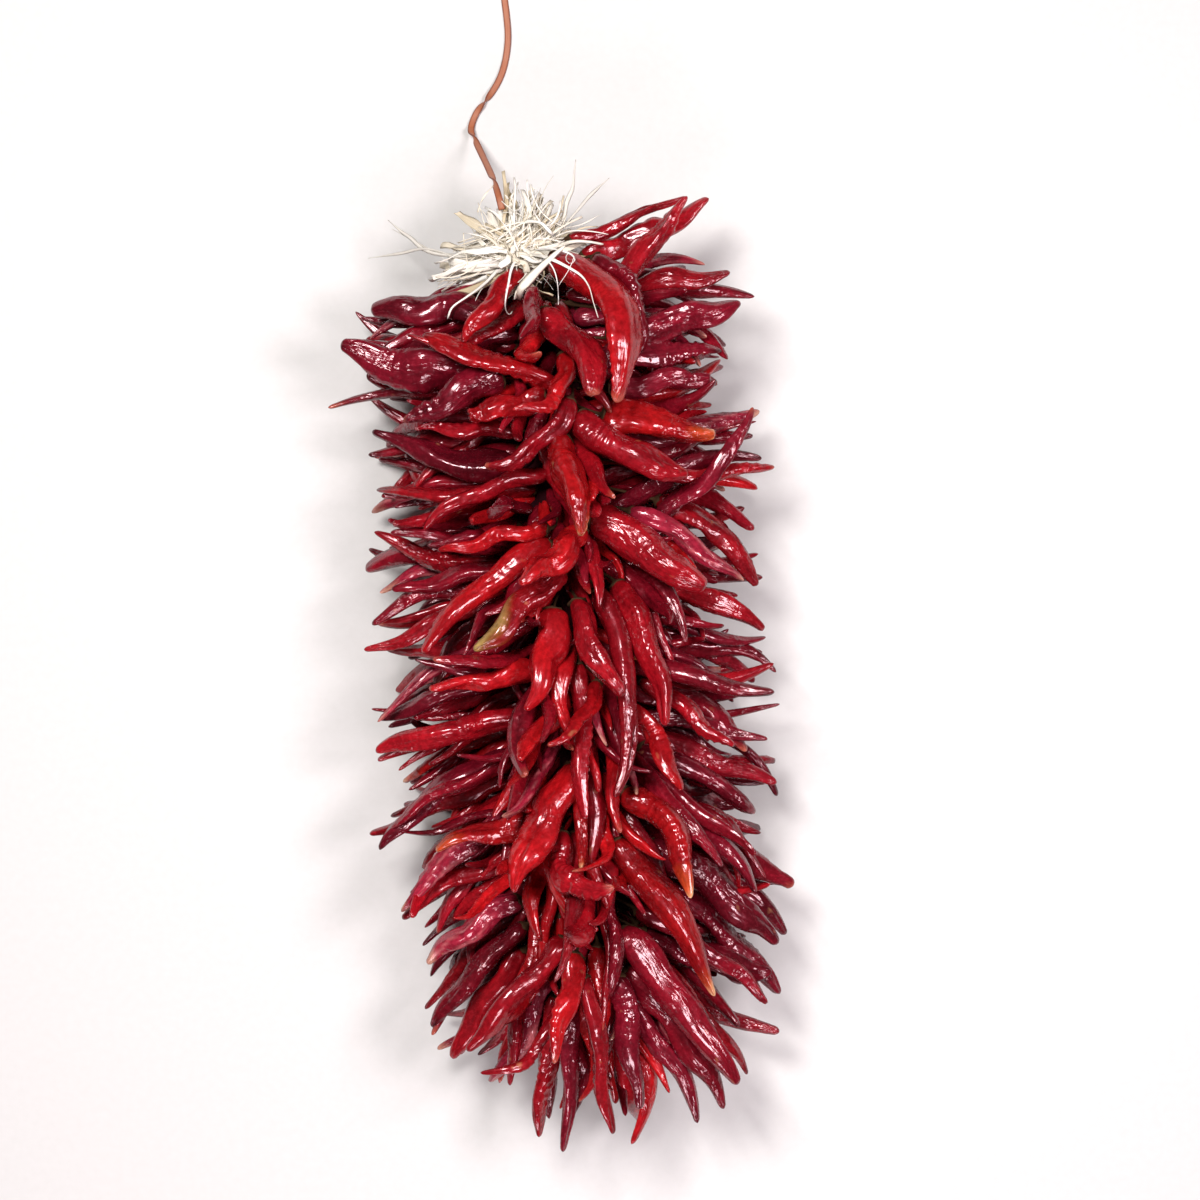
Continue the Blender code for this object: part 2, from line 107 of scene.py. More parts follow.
def soft_box(name, place, aim, size, watts, colour):
    """A square area light at a place, turned to face an aim point."""
    light = bpy.data.lights.new(name, "AREA")
    light.size = size
    light.energy = watts
    light.color = linear(colour)[:3]
    made = bpy.data.objects.new(name, light)
    way = np.subtract(aim, place)
    made.location = place
    tilt, heading = math.acos(-way[2] / np.linalg.norm(way)), math.atan2(way[1], way[0])
    made.rotation_euler = (tilt, 0, heading - math.pi / 2)
    bpy.context.scene.collection.objects.link(made)


soft_box("key_box", (-0.55, 0.72, 2.05), (0, 0, 0.05), 0.56, 48, "#FFFAF8")
soft_box("fill_box", (1.00, 0.10, 1.80), (0, 0, 0.05), 0.56, 27, "#FFF4F8")
soft_box("foot_box", (0.05, -1.45, 1.35), (0, -0.05, 0.05), 0.5, 15, "#FFF4F9")

world = bpy.data.worlds.new("studio")
world.use_nodes = True
set_inputs(world.node_tree, world.node_tree.nodes["Background"], Color=linear("#FFFFFF"), Strength=0.055)
bpy.context.scene.world = world

paper, tree, shader = new_material("white_paper_sweep")
grain = add_node(tree, "ShaderNodeTexNoise", Scale=900.0, Detail=2.0)
tone = add_node(tree, "ShaderNodeMix", {"data_type": "RGBA"}, Factor=grain.outputs["Fac"],
                i6=linear("#D2D2D0"), i7=linear("#D8D8D7"))
set_inputs(tree, shader, Base_Color=tone.outputs[2], Roughness=0.85, Specular_IOR_Level=0.2)

sweep = bpy.data.meshes.new("sweep")
sweep.from_pydata([(-SWEEP_HALF, -SWEEP_HALF, 0), (SWEEP_HALF, -SWEEP_HALF, 0), (SWEEP_HALF, SWEEP_HALF, 0),
                   (-SWEEP_HALF, SWEEP_HALF, 0)], [], [(0, 1, 2, 3)])
sweep.materials.append(paper)
sweep_object = bpy.data.objects.new("sweep", sweep)
bpy.context.scene.collection.objects.link(sweep_object)


# ---------------------------------------------------------------------------------------------------------------------
# The hanging twine: flat orange baling twine, a polypropylene film split into fibres and folded on itself, 5.6 mm
# wide. It leaves the neck of the tie, falls to the table and runs on in the wave that it took from hanging, with
# half turns where it narrows. Its end is tied into a loop for a hook.

TWINE_WIDTH = 0.0056
TWINE_THICK = 0.0017
FILM_WIDTH = 0.0113
TAPE_SIDES = 16
HALF_TURNS_AT = (0.13, 0.44, 0.58)
EYE_LONG, EYE_WIDE = 0.023, 0.012
EYE_FILM, EYE_GAUGE = 0.009, (0.0044, 0.0018)
KNOT_GAUGE = (0.0040, 0.0017)
EYE_FROM_END, KNOT_FROM_END = 0.0314, 0.0058
TWINE_ROUTE = np.array((
    (-56.1, 344.5, 87.9), (-59, 356, 85.8), (-63, 369, 73), (-68, 382, 54), (-74, 396, 34), (-80, 410, 16),
    (-84.5, 422, 6), (-80, 436, 3.2), (-70, 449, 3.2), (-61, 464, 3.2), (-56, 480, 3.2), (-54, 498, 3.2),
    (-55, 515, 3.2), (-57, 532, 3.2), (-58, 546, 3.2),
)) / 1000


def unit(vectors):
    """Each row at length one."""
    return vectors / np.maximum(np.linalg.norm(vectors, axis=-1, keepdims=True), 1e-12)


def smooth_route(points, gap):
    """Points at equal gaps along a Catmull-Rom curve through the given ones."""
    ends = np.concatenate([[2 * points[0] - points[1]], points, [2 * points[-1] - points[-2]]])
    u = np.linspace(0, 1, 24, endpoint=False)[:, None]
    fine = [0.5 * (2 * b + (c - a) * u + (2 * a - 5 * b + 4 * c - d) * u**2 + (3 * b - a - 3 * c + d) * u**3)
            for a, b, c, d in zip(ends, ends[1:], ends[2:], ends[3:])]
    fine = np.concatenate(fine + [points[-1:]])
    run = np.concatenate([[0], np.cumsum(np.linalg.norm(np.diff(fine, axis=0), axis=1))])
    at = np.linspace(0, run[-1], max(3, round(run[-1] / gap) + 1))
    return np.stack([np.interp(at, run, fine[:, k]) for k in range(3)], 1)


def tube_faces(rings, sides, count=1):
    """Faces of some closed tubes, quads and then triangles. Each tube has its rings of points one after another and
    then the middle points of its two ends: quads join the rings, and a fan of triangles closes each end."""
    ring, side = np.meshgrid(np.arange(rings - 1), np.arange(sides), indexing="ij")
    a, b = ring * sides + side, ring * sides + (side + 1) % sides
    quads = np.stack([a, b, b + sides, a + sides], -1).reshape(-1, 4)
    k, last, middle = np.arange(sides), (rings - 1) * sides, rings * sides
    tris = np.concatenate([np.stack([middle + 0 * k, (k + 1) % sides, k], 1),
                           np.stack([middle + 1 + 0 * k, last + k, last + (k + 1) % sides], 1)])
    shift = (np.arange(count) * (middle + 2))[:, None, None]
    return (quads + shift).reshape(-1, 4), (tris + shift).reshape(-1, 3)


def mesh_piece(name, verts, quads, tris, material, slot, **attributes):
    """A smooth-shaded mesh at the origin, from arrays of points, four-sided and three-sided faces, with point
    attributes."""
    mesh = bpy.data.meshes.new(name)
    quads, tris = np.reshape(quads, (-1, 4)), np.reshape(tris, (-1, 3))
    mesh.vertices.add(len(verts))
    mesh.vertices.foreach_set("co", np.asarray(verts, np.float32).ravel())
    mesh.loops.add(quads.size + tris.size)
    mesh.loops.foreach_set("vertex_index", np.concatenate([quads.ravel(), tris.ravel()]).astype(np.int32))
    starts = np.concatenate([np.arange(len(quads)) * 4, len(quads) * 4 + np.arange(len(tris)) * 3])
    mesh.polygons.add(len(starts))
    mesh.polygons.foreach_set("loop_start", starts.astype(np.int32))
    mesh.polygons.foreach_set("use_smooth", np.ones(len(starts), bool))
    mesh.update(calc_edges=True)
    mesh.validate()
    for key, values in attributes.items():
        values = np.asarray(values, np.float32)
        numbers = 1 if values.ndim == 1 else values.shape[1]
        kind, field = {1: ("FLOAT", "value"), 3: ("FLOAT_VECTOR", "vector"), 4: ("FLOAT_COLOR", "color")}[numbers]
        mesh.attributes.new(key, kind, "POINT").data.foreach_set(field, values.ravel())
    mesh.materials.append(material)
    made = bpy.data.objects.new(name, mesh)
    bpy.context.scene.collection.objects.link(made)
    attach(made, "root")
    return made


def turned_frames(points):
    """Two unit vectors across each point of each route (last axis xyz, second-last along), turning as little as
    they can."""
    ahead = unit(np.gradient(points, axis=-2))
    first = ahead[..., 0, :]
    helper = np.where(np.abs(first[..., 2:3]) < 0.9, (0.0, 0.0, 1.0), (1.0, 0.0, 0.0))
    across = np.empty_like(points)
    across[..., 0, :] = unit(np.cross(first, helper))
    for k in range(1, points.shape[-2]):
        before = across[..., k - 1, :]
        way = ahead[..., k, :]
        across[..., k, :] = unit(before - way * (before * way).sum(-1, keepdims=True))
    return across, np.cross(ahead, across)


def tape(points, width, thick, turn, closed=False):
    """A folded flat tape along a route: the section is a squared-off oval with a shallow dish and a fold line,
    turned by turn radians at each point. A closed tape joins its last ring to its first. Returns points, quads, end
    triangles, and how near each point is to the tape's edge."""
    around = 2 * math.pi * np.arange(TAPE_SIDES) / TAPE_SIDES
    flat = np.sign(np.cos(around)) * np.abs(np.cos(around)) ** 0.8 * width / 2
    high = np.sign(np.sin(around)) * np.abs(np.sin(around)) ** 0.7 * thick / 2
    high = high * (0.78 + 0.35 * (2 * flat / width) ** 2) + 0.05 * thick * np.sin(flat / width * 14)
    ahead = unit(np.gradient(points, axis=0))
    across = unit(np.cross(ahead, (0, 0, 1)))
    up = np.cross(across, ahead)
    c, s = np.cos(turn)[:, None], np.sin(turn)[:, None]
    wide_way, high_way = across * c + up * s, up * c - across * s
    verts = points[:, None] + wide_way[:, None] * flat[:, None] + high_way[:, None] * high[:, None]
    edge = np.broadcast_to(np.abs(flat) / (width / 2), verts.shape[:2]).ravel()
    verts = verts.reshape(-1, 3)
    quads, tris = tube_faces(len(points), TAPE_SIDES)
    if closed:
        k = np.arange(TAPE_SIDES)
        last, after = len(verts) - TAPE_SIDES, (k + 1) % TAPE_SIDES
        return verts, np.concatenate([quads, np.stack([last + k, last + after, after, k], 1)]), tris[:0], edge
    return np.concatenate([verts, points[:1], points[-1:]]), quads, tris, np.concatenate([edge, [0, 0]])


def film_place(film, along):
    """Where each point of a tape lies on its film, in metres: round the section, and along the route."""
    return np.stack([np.tile(np.linspace(0, film, TAPE_SIDES), len(along)), np.repeat(along, TAPE_SIDES),
                     np.zeros(TAPE_SIDES * len(along))], 1)


# Split-film polypropylene twine: satin and salmon-orange, with painted shade darkening its two edges to deep orange
# where the section turns from the light; the fibres are drawn 0.5 mm apart, as the real 0.1 mm ones would not show.
twine_fibre, tree, shader = new_material("split_film_polypropylene_twine")
place = add_node(tree, "ShaderNodeAttribute", {"attribute_name": "tape_place"})
edge_share = add_node(tree, "ShaderNodeAttribute", {"attribute_name": "tape_edge"})
stretch = add_node(tree, "ShaderNodeMapping", Vector=place.outputs["Vector"], Scale=(1.0, 0.06, 1.0))
fibres = add_node(tree, "ShaderNodeTexNoise", Vector=stretch.outputs[0], Scale=2000.0, Detail=3.0, Roughness=0.6)
patches = add_node(tree, "ShaderNodeTexNoise", Vector=place.outputs["Vector"], Scale=90.0, Detail=2.0)
edge_shade_ramp = add_node(tree, "ShaderNodeMapRange", Value=edge_share.outputs["Fac"], From_Min=0.45, From_Max=0.95)
face_tone = add_node(tree, "ShaderNodeMix", {"data_type": "RGBA"}, Factor=fibres.outputs["Fac"],
                     i6=linear("#8E4A2C"), i7=linear("#B87E5A"))
worn = add_node(tree, "ShaderNodeMix", {"data_type": "RGBA"}, Factor=patches.outputs["Fac"],
                i6=face_tone.outputs[2], i7=linear("#A25732"))
# Painted shade: the tape darkens to deep orange towards its two edges.
edge_painted_shade = add_node(tree, "ShaderNodeMix", {"data_type": "RGBA"}, Factor=edge_shade_ramp.outputs[0],
                 i6=worn.outputs[2], i7=linear("#74300F"))
ridges = add_node(tree, "ShaderNodeBump", Height=fibres.outputs["Fac"], Strength=0.8, Distance=0.0004)
set_inputs(tree, shader, Base_Color=edge_painted_shade.outputs[2], Normal=ridges.outputs[0], Roughness=0.5, Sheen_Weight=0.15)

path = smooth_route(TWINE_ROUTE, 0.0022)
run = np.linspace(0, 1, len(path))
half_turns = sum(1 / (1 + np.exp(-(run - at) * 70)) for at in HALF_TURNS_AT)
turn = math.pi * half_turns + 0.25 * np.sin(run * 17)
drop = np.abs(np.sin(turn)) * TWINE_WIDTH / 2 + np.abs(np.cos(turn)) * TWINE_THICK / 2
path[:, 2] = np.where(path[:, 2] < 0.006, np.maximum(drop + 0.0001, path[:, 2] - 0.0023), path[:, 2])
verts, quads, tris, edge = tape(path, TWINE_WIDTH, TWINE_THICK, turn)
twine_place = np.concatenate([film_place(FILM_WIDTH, run * 0.22), [(0, 0, 0), (0, 0.22, 0)]])
twine = mesh_piece("hanging_twine_tape", verts, quads, tris, twine_fibre, "orange_twine",
                   tape_place=twine_place, tape_edge=edge)
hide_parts("hanging_twine")

# The eye is an oval that lies flat beyond the end of the twine, its tape rocking a little from side to side.
loop_way = unit(TWINE_ROUTE[-1] - TWINE_ROUTE[-2])
loop_side = np.array([loop_way[1], -loop_way[0], 0.0])
loop_middle = TWINE_ROUTE[-1] + loop_way * EYE_FROM_END
bend = np.linspace(0, 2 * math.pi, 72, endpoint=False)
ring = loop_middle + loop_way * EYE_LONG * np.cos(bend)[:, None] + loop_side * EYE_WIDE * np.sin(bend)[:, None]
ring[:, 2] = 0.0024 + 0.0006 * np.sin(bend * 2)
verts, quads, tris, edge = tape(ring, *EYE_GAUGE, 0.5 * np.sin(2 * bend), closed=True)
twine_eye = mesh_piece("twine_eye", verts, quads, tris, twine_fibre, "orange_twine",
                       tape_place=film_place(EYE_FILM, bend * 0.018), tape_edge=edge)

# The overhand knot is a trefoil pulled tight: x = sin t + 2 sin 2t, y = cos t - 2 cos 2t, z = -sin 3t, 11 mm long.
t = np.linspace(0, 2 * math.pi, 97)[:-1]
knot_flat = np.stack([np.cos(t) - 2 * np.cos(2 * t), np.sin(t) + 2 * np.sin(2 * t)], 1) * (0.0014, 0.0012)
knot_middle = TWINE_ROUTE[-1] + loop_way * KNOT_FROM_END
knot_line = knot_middle + loop_way * knot_flat[:, :1] + loop_side * knot_flat[:, 1:]
knot_line[:, 2] = 0.0042 - 0.0016 * np.sin(3 * t)
verts, quads, tris, edge = tape(knot_line, *KNOT_GAUGE, np.full(len(knot_line), 0.9), closed=True)
twine_knot = mesh_piece("twine_knot", verts, quads, tris, twine_fibre, "orange_twine",
                        tape_place=film_place(EYE_FILM, t * 0.006), tape_edge=edge)
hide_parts("twine_loop")


# ---------------------------------------------------------------------------------------------------------------------
# The pods: long red chillies, dried whole until the skin is a glossy leather that has sunk between its ribs. They
# stand out all round the string by the golden angle, level at the top and hanging at the foot, and those on top are
# listed one by one. Each is moved and bent until it only touches its neighbours, and none sinks into the table.

STRING_TOP = np.array((-0.026, 0.288, 0.088))
STRING_FOOT = np.array((0.018, -0.268, 0.088))
POD_COUNT = 430
POD_LENGTH = 0.122
POD_LENGTH_SPREAD = 0.017
POD_LENGTH_LIMITS = (0.078, 0.148)
POD_WIDTH = 0.0178
POD_WIDTH_SPREAD = 0.0028
POD_WIDTH_LIMITS = (0.0115, 0.026)
GOLDEN_ANGLE = 137.508
STEM_PLACES = (0, 0.5, 0.75, 0.94, 1)
STEM_REACHES = (0.024, 0.024, 0.040, 0.040, 0.010)
DROOP_PLACES = (0, 0.2, 0.35, 0.5, 0.67, 0.8, 0.92, 1)
DROOP_DEGREES = (7, 4, 8, 13, 20, 31, 48, 78)
TIP_CEILING = 0.188
TABLE_GAP = 0.0006
FILL_COUNT = 210
FILL_WIDTH = 0.82
SEED = 11

# The shoulder's and the tip's x, y and z, the bow's x and y and the width in millimetres, and the kind of pod: s
# scarlet, c crimson, k carmine, m maroon, r rusty orange tip, y straw-coloured patch or tip, p pale and streaked.
TOP_PODS = (
    (-4, 318, 112, 84, 358, 100, 2, -6, 12, "c"),
    (6, 306, 100, 107, 350, 92, 2, -8, 14, "c"),
    (26, 268, 118, 88, 350, 132, 2, 2, 20, "c"),
    (26, 282, 112, 122, 294, 108, 0, -3, 17, "c"),
    (28, 236, 118, 136, 263, 122, 0, 2, 27, "m"),
    (22, 226, 122, 117, 224, 120, 0, 4, 18, "m"),
    (28, 200, 120, 112, 214, 122, 0, -2, 22, "m"),
    (-12, 302, 122, 29, 186, 186, 30, 14, 32, "s"),
    (16, 298, 120, 54, 226, 136, 12, 6, 20, "k"),
    (-24, 258, 136, 25, 186, 184, 5, 6, 25, "c"),
    (-40, 292, 120, -82, 234, 148, -2, 3, 16, "s"),
    (-60, 254, 106, -158, 262, 96, 0, 4, 23, "m"),
    (-62, 214, 118, -186, 237, 104, 0, -6, 29, "m"),
    (-16, 192, 136, -118, 236, 140, 4, 3, 20, "s"),
    (-56, 218, 122, -128, 168, 132, 0, 3, 28, "m"),
    (-6, 226, 138, -46, 176, 182, 14, -10, 15, "s"),
    (-18, 196, 136, -83, 172, 158, 0, 2, 17, "s"),
    (-40, 166, 122, -128, 172, 120, 0, -2, 14, "c"),
    (-44, 136, 112, -155, 166, 98, 0, -9, 26, "m"),
    (6, 184, 140, -70, 134, 162, 10, -8, 17, "c"),
    (18, 172, 134, 118, 163, 132, 0, 1, 28, "r"),
    (2, 180, 136, 90, 128, 156, -4, -7, 28, "c"),
    (46, 140, 118, 162, 142, 108, 0, -9, 14, "c"),
    (66, 96, 118, 141, 182, 132, 10, -8, 15, "m"),
    (-8, 160, 140, 8, 84, 190, 2, 3, 27, "r"),
    (12, 96, 138, 104, 38, 164, 0, 4, 31, "c"),
    (44, 104, 120, 136, 44, 122, 2, 4, 15, "p"),
    (66, 112, 108, 149, 46, 98, 7, 7, 18, "c"),
    (-6, 54, 138, -71, -12, 168, 0, 4, 18, "y"),
    (14, 92, 140, -40, 44, 192, 4, -2, 20, "s"),
    (-14, 76, 130, -118, -8, 146, -2, 10, 18, "s"),
    (-18, 132, 126, -118, 92, 134, 0, 6, 17, "c"),
    (-18, 88, 132, -103, 67, 150, 0, 3, 16, "s"),
    (-14, 24, 138, -35, -52, 178, 4, 0, 26, "s"),
    (-26, -22, 134, -114, -32, 152, 0, -5, 18, "s"),
    (4, 32, 140, 36, -38, 186, -2, -4, 21, "c"),
    (20, 42, 134, 42, -120, 180, 14, 0, 20, "c"),
    (34, 46, 126, 74, -64, 158, 4, 6, 23, "c"),
    (18, -32, 138, -16, -78, 190, 6, -6, 13, "s"),
    (6, -16, 136, 12, -140, 172, 0, 0, 16, "c"),
    (44, -50, 128, 85, -122, 162, 3, 4, 15, "s"),
    (54, -30, 118, 122, -88, 142, 2, 4, 17, "c"),
    (-14, -146, 132, -103, -160, 158, 0, 4, 19, "r"),
    (4, -98, 138, -46, -192, 186, 0, 2, 27, "s"),
    (-8, -150, 140, 28, -192, 190, -13, -14, 21, "c"),
    (30, -156, 132, 117, -280, 150, 2, 8, 27, "r"),
    (40, -120, 130, 92, -200, 172, 14, 12, 25, "r"),
    (60, -160, 112, 164, -244, 98, 4, 9, 23, "m"),
    (-36, -62, 116, -155, -86, 116, 0, 2, 21, "c"),
    (-44, -92, 104, -154, -168, 98, -6, 8, 19, "m"),
    (-46, -110, 88, -163, -158, 84, 0, 2, 16, "c"),
    (-50, -138, 112, -133, -208, 108, 0, 4, 20, "p"),
    (-40, -206, 100, -118, -262, 92, 0, 4, 20, "p"),
    (-36, -246, 88, -100, -338, 84, 0, 4, 20, "c"),
    (60, -196, 84, 166, -284, 80, 4, 6, 26, "m"),
    (56, -232, 92, 158, -262, 84, 0, -4, 22, "m"),
    (52, -86, 100, 149, -140, 94, 2, 4, 22, "m"),
    (50, -60, 92, 153, -81, 88, 0, 4, 17, "m"),
    (-50, -30, 104, -151, -64, 98, 0, 2, 16, "m"),
    (-50, 36, 96, -163, -16, 90, 0, 4, 13, "c"),
    (-44, 58, 108, -142, 36, 106, 0, 3, 17, "k"),
    (58, 50, 104, 158, 8, 98, 2, 4, 18, "c"),
    (-46, -96, 112, -146, -146, 106, 0, 4, 17, "k"),
    (50, -214, 104, 160, -290, 96, 2, 3, 20, "k"),
    (36, -262, 112, 122, -366, 104, 4, 4, 20, "k"),
    (-36, -226, 104, -110, -312, 98, -4, 4, 19, "k"),
    (-52, 62, 92, -158, 88, 90, -2, -8, 16, "c"),
    (-16, -280, 98, -26, -400, 88, 0, 0, 15, "c"),
    (0, -288, 122, -6, -402, 108, 2, 0, 15, "m"),
    (10, -262, 138, 27, -388, 142, 5, 0, 19, "c"),
    (34, -262, 124, 55, -370, 122, 0, 0, 21, "m"),
    (44, -276, 108, 105, -384, 96, 0, 3, 15, "m"),
    (36, -228, 122, 129, -352, 122, 0, 4, 26, "k"),
    (-4, -276, 132, -64, -336, 166, 6, -14, 15, "c"),
    (4, -244, 140, -15, -324, 172, 0, 0, 19, "s"),
    (-4, -234, 132, -78, -322, 144, 0, 4, 23, "c"),
)


def girth(t):
    """Share of a pod's half-width at t of its length: a round shoulder, a full body, then a blunt tip."""
    shoulder = np.sqrt(np.clip(1 - (1 - np.clip(t / 0.13, 0, 1)) ** 2, 0, 1))
    taper = 1 - 0.78 * np.clip((t - 0.28) / 0.72, 0, 1) ** 1.9
    return np.maximum(shoulder * taper, 0.02)


def half_widths(pods, t):
    """Half the width of every pod at the shares t."""
    return girth(t) * pods["width"][:, None] / 2


def centreline(pods, t):
    """Points of every pod at the shares t: a chord bowed to one side, its last third hooked."""
    t = np.asarray(t, float)
    chord = pods["shoulder"][:, None] + (pods["tip"] - pods["shoulder"])[:, None] * t[:, None]
    bow = pods["bow"][:, None] * (4 * t * (1 - t))[:, None]
    hook = pods["hook"][:, None] * (np.clip((t - 0.62) / 0.38, 0, 1) ** 2)[:, None]
    ease = np.stack([0.6 + 0 * t, t, t * t], 1)
    return chord + bow + hook + np.einsum("kj,njc->nkc", ease, pods["shift"])


def fan_pods(rng, phase=0.0):
    """Pods set round the string by the golden angle, level at the top and hanging at the foot; the phase turns them
    all."""
    down_way, out_way = unit(STRING_FOOT - STRING_TOP), np.array([0.0, 0.0, 1.0])
    right_way = np.cross(down_way, out_way)
    count = np.arange(POD_COUNT)
    down = np.clip((count + 0.5) / POD_COUNT + rng.normal(0, 0.007, POD_COUNT), 0, 1)
    around = phase + count * math.radians(GOLDEN_ANGLE) + rng.normal(0, 0.12, POD_COUNT)
    over = np.sin(around)
    droop = np.radians(np.interp(down, DROOP_PLACES, DROOP_DEGREES))
    droop += math.radians(34) * np.clip(over, 0, 1) ** 2 + rng.normal(0, math.radians(12), POD_COUNT)
    outward = np.cos(around)[:, None] * right_way + over[:, None] * out_way
    swing = around + rng.normal(0, 0.30, POD_COUNT)
    rise = np.sin(swing) * np.where(over < 0, 0.42, 1)
    heading = np.cos(swing)[:, None] * right_way + rise[:, None] * out_way
    along = unit(np.cos(droop)[:, None] * heading + np.sin(droop)[:, None] * down_way)
    length = np.clip(rng.normal(POD_LENGTH, POD_LENGTH_SPREAD, POD_COUNT), *POD_LENGTH_LIMITS)
    width = np.clip(rng.normal(POD_WIDTH, POD_WIDTH_SPREAD, POD_COUNT), *POD_WIDTH_LIMITS)
    reach = np.interp(down, STEM_PLACES, STEM_REACHES)
    shoulder = STRING_TOP + down[:, None] * (STRING_FOOT - STRING_TOP) + reach[:, None] * outward * [1, 1, 0.8]
    aside = unit(np.cross(along, rng.normal(size=(POD_COUNT, 3))))
    bow = aside * rng.normal(0, 0.012, POD_COUNT)[:, None]
    hook = unit(np.cross(along, rng.normal(size=(POD_COUNT, 3)))) * rng.normal(0, 0.015, POD_COUNT)[:, None]
    tip = shoulder + along * length[:, None]
    tip[:, 2] = np.minimum(tip[:, 2], TIP_CEILING)
    return {"shoulder": shoulder, "tip": tip, "bow": bow, "hook": hook,
            "width": width * (length / POD_LENGTH) ** 0.5, "shift": np.zeros((POD_COUNT, 3, 3))}


def top_pods(rng):
    """The pods of TOP_PODS in the same form, each with a small hook of its own."""
    rows = np.array([row[:9] for row in TOP_PODS]) / 1000
    bow = np.column_stack([rows[:, 6:8], np.full(len(rows), 0.003)])
    return {"shoulder": rows[:, :3], "tip": rows[:, 3:6], "bow": bow, "hook": rng.normal(0, 0.003, (len(rows), 3)),
            "width": rows[:, 8], "shift": np.zeros((len(rows), 3, 3))}


def clear_of(fan, top, t):
    """Which fan pods lie over none of the top pods, seen from above."""
    a, b = centreline(fan, t), centreline(top, t)
    ra, rb = half_widths(fan, t), half_widths(top, t)
    plan = np.linalg.norm(a[:, :, None, None, :2] - b[None, None, :, :, :2], axis=-1)
    over = a[:, :, None, None, 2] > b[None, None, :, :, 2] + 0.002
    touching = plan < (ra[:, :, None, None] + rb[None, None]) * 0.8
    return ~(over & touching).any(axis=(1, 2, 3))


def ease_apart(pods, ease, rounds=80):
    """Moves and bends the pods, each by its ease, until balls strung along them no longer overlap and none is in
    the table. Each round pushes every overlapping pair apart, and fits each pod's shift to the pushes by least
    squares."""
    t = np.linspace(0.05, 0.97, 9)
    basis = np.stack([0.6 + 0 * t, t, t * t], 1)
    fit = np.linalg.solve(basis.T @ basis + 0.15 * np.eye(3), basis.T)
    radius = (half_widths(pods, t) * 0.92).reshape(-1)
    owner = np.repeat(np.arange(len(pods["width"])), len(t))
    give = ease[owner]
    for _ in range(rounds):
        x = centreline(pods, t).reshape(-1, 3)
        square = (x * x).sum(1)
        apart = square[:, None] + square - 2 * x @ x.T
        near = (apart < (radius[:, None] + radius) ** 2) & (owner[:, None] < owner)
        a, b = np.nonzero(near)
        gap = x[b] - x[a]
        dist = np.maximum(np.linalg.norm(gap, axis=1), 1e-5)
        push = gap / dist[:, None] * (radius[a] + radius[b] - dist)[:, None] / 2
        share = (give[a] / (give[a] + give[b]))[:, None]
        move = np.zeros_like(x)
        np.add.at(move, a, -push * share)
        np.add.at(move, b, push * (1 - share))
        move /= np.sqrt(1 + np.bincount(np.concatenate([a, b]), minlength=len(x)))[:, None]
        move[:, 2] += np.clip(radius - x[:, 2] - move[:, 2], 0, None)
        pods["shift"] = pods["shift"] + np.einsum("jk,nkc->njc", fit, move.reshape(-1, len(t), 3))
    return pods


def rest_on_table(pods):
    """Lifts each pod that still dips below the table."""
    t = np.linspace(0, 1, 25)
    low = centreline(pods, t)[:, :, 2] - half_widths(pods, t)
    pods["shift"][:, 0, 2] += np.clip(TABLE_GAP - low.min(axis=1), 0, None) / 0.6
    return pods


def room_left(guests, hosts, t):
    """How deep each guest pod lies in the host pods, summed over balls along both."""
    a, b = centreline(guests, t).reshape(-1, 3), centreline(hosts, t).reshape(-1, 3)
    ra, rb = half_widths(guests, t).reshape(-1), half_widths(hosts, t).reshape(-1)
    apart = np.sqrt(np.clip((a * a).sum(1)[:, None] + (b * b).sum(1) - 2 * a @ b.T, 0, None))
    return np.clip(ra[:, None] + rb - apart, 0, None).sum(1).reshape(-1, len(t)).sum(1)


rng = np.random.default_rng(SEED)
fan, top = fan_pods(rng), top_pods(rng)
keep = clear_of(fan, top, np.linspace(0.2, 1, 7))
pods = {name: np.concatenate([fan[name][keep], top[name]]) for name in fan}
laid_by_hand = np.arange(len(pods["width"])) >= keep.sum()
pods = rest_on_table(ease_apart(pods, np.where(laid_by_hand, 0.12, 1.0)))

# The gaps are filled by slimmer pods: of a second fan, closer in, those that find the most room are pushed between
# the rest.
fill = fan_pods(np.random.default_rng(SEED + 3), 1.2)
inner = np.clip((fill["tip"][:, 2] - 0.10) / 0.08, 0, 1)
fill["shoulder"][:, 2] -= 0.010 * inner
fill["tip"][:, 2] -= 0.026 * inner
fill["tip"] = fill["shoulder"] + (fill["tip"] - fill["shoulder"]) * 0.92
fill["width"] = fill["width"] * FILL_WIDTH
fill = {name: values[clear_of(fill, top, np.linspace(0.2, 1, 7))] for name, values in fill.items()}
roomy = np.argsort(room_left(fill, pods, np.linspace(0.1, 0.95, 7)))[:FILL_COUNT]
pods = {name: np.concatenate([pods[name], fill[name][roomy]]) for name in fan}
laid_by_hand = np.concatenate([laid_by_hand, np.zeros(len(roomy), bool)])
filling = np.arange(len(laid_by_hand)) >= len(laid_by_hand) - len(roomy)
pods = rest_on_table(ease_apart(pods, np.where(filling, 1.0, 0.0001), 40))
pod_total = len(laid_by_hand)
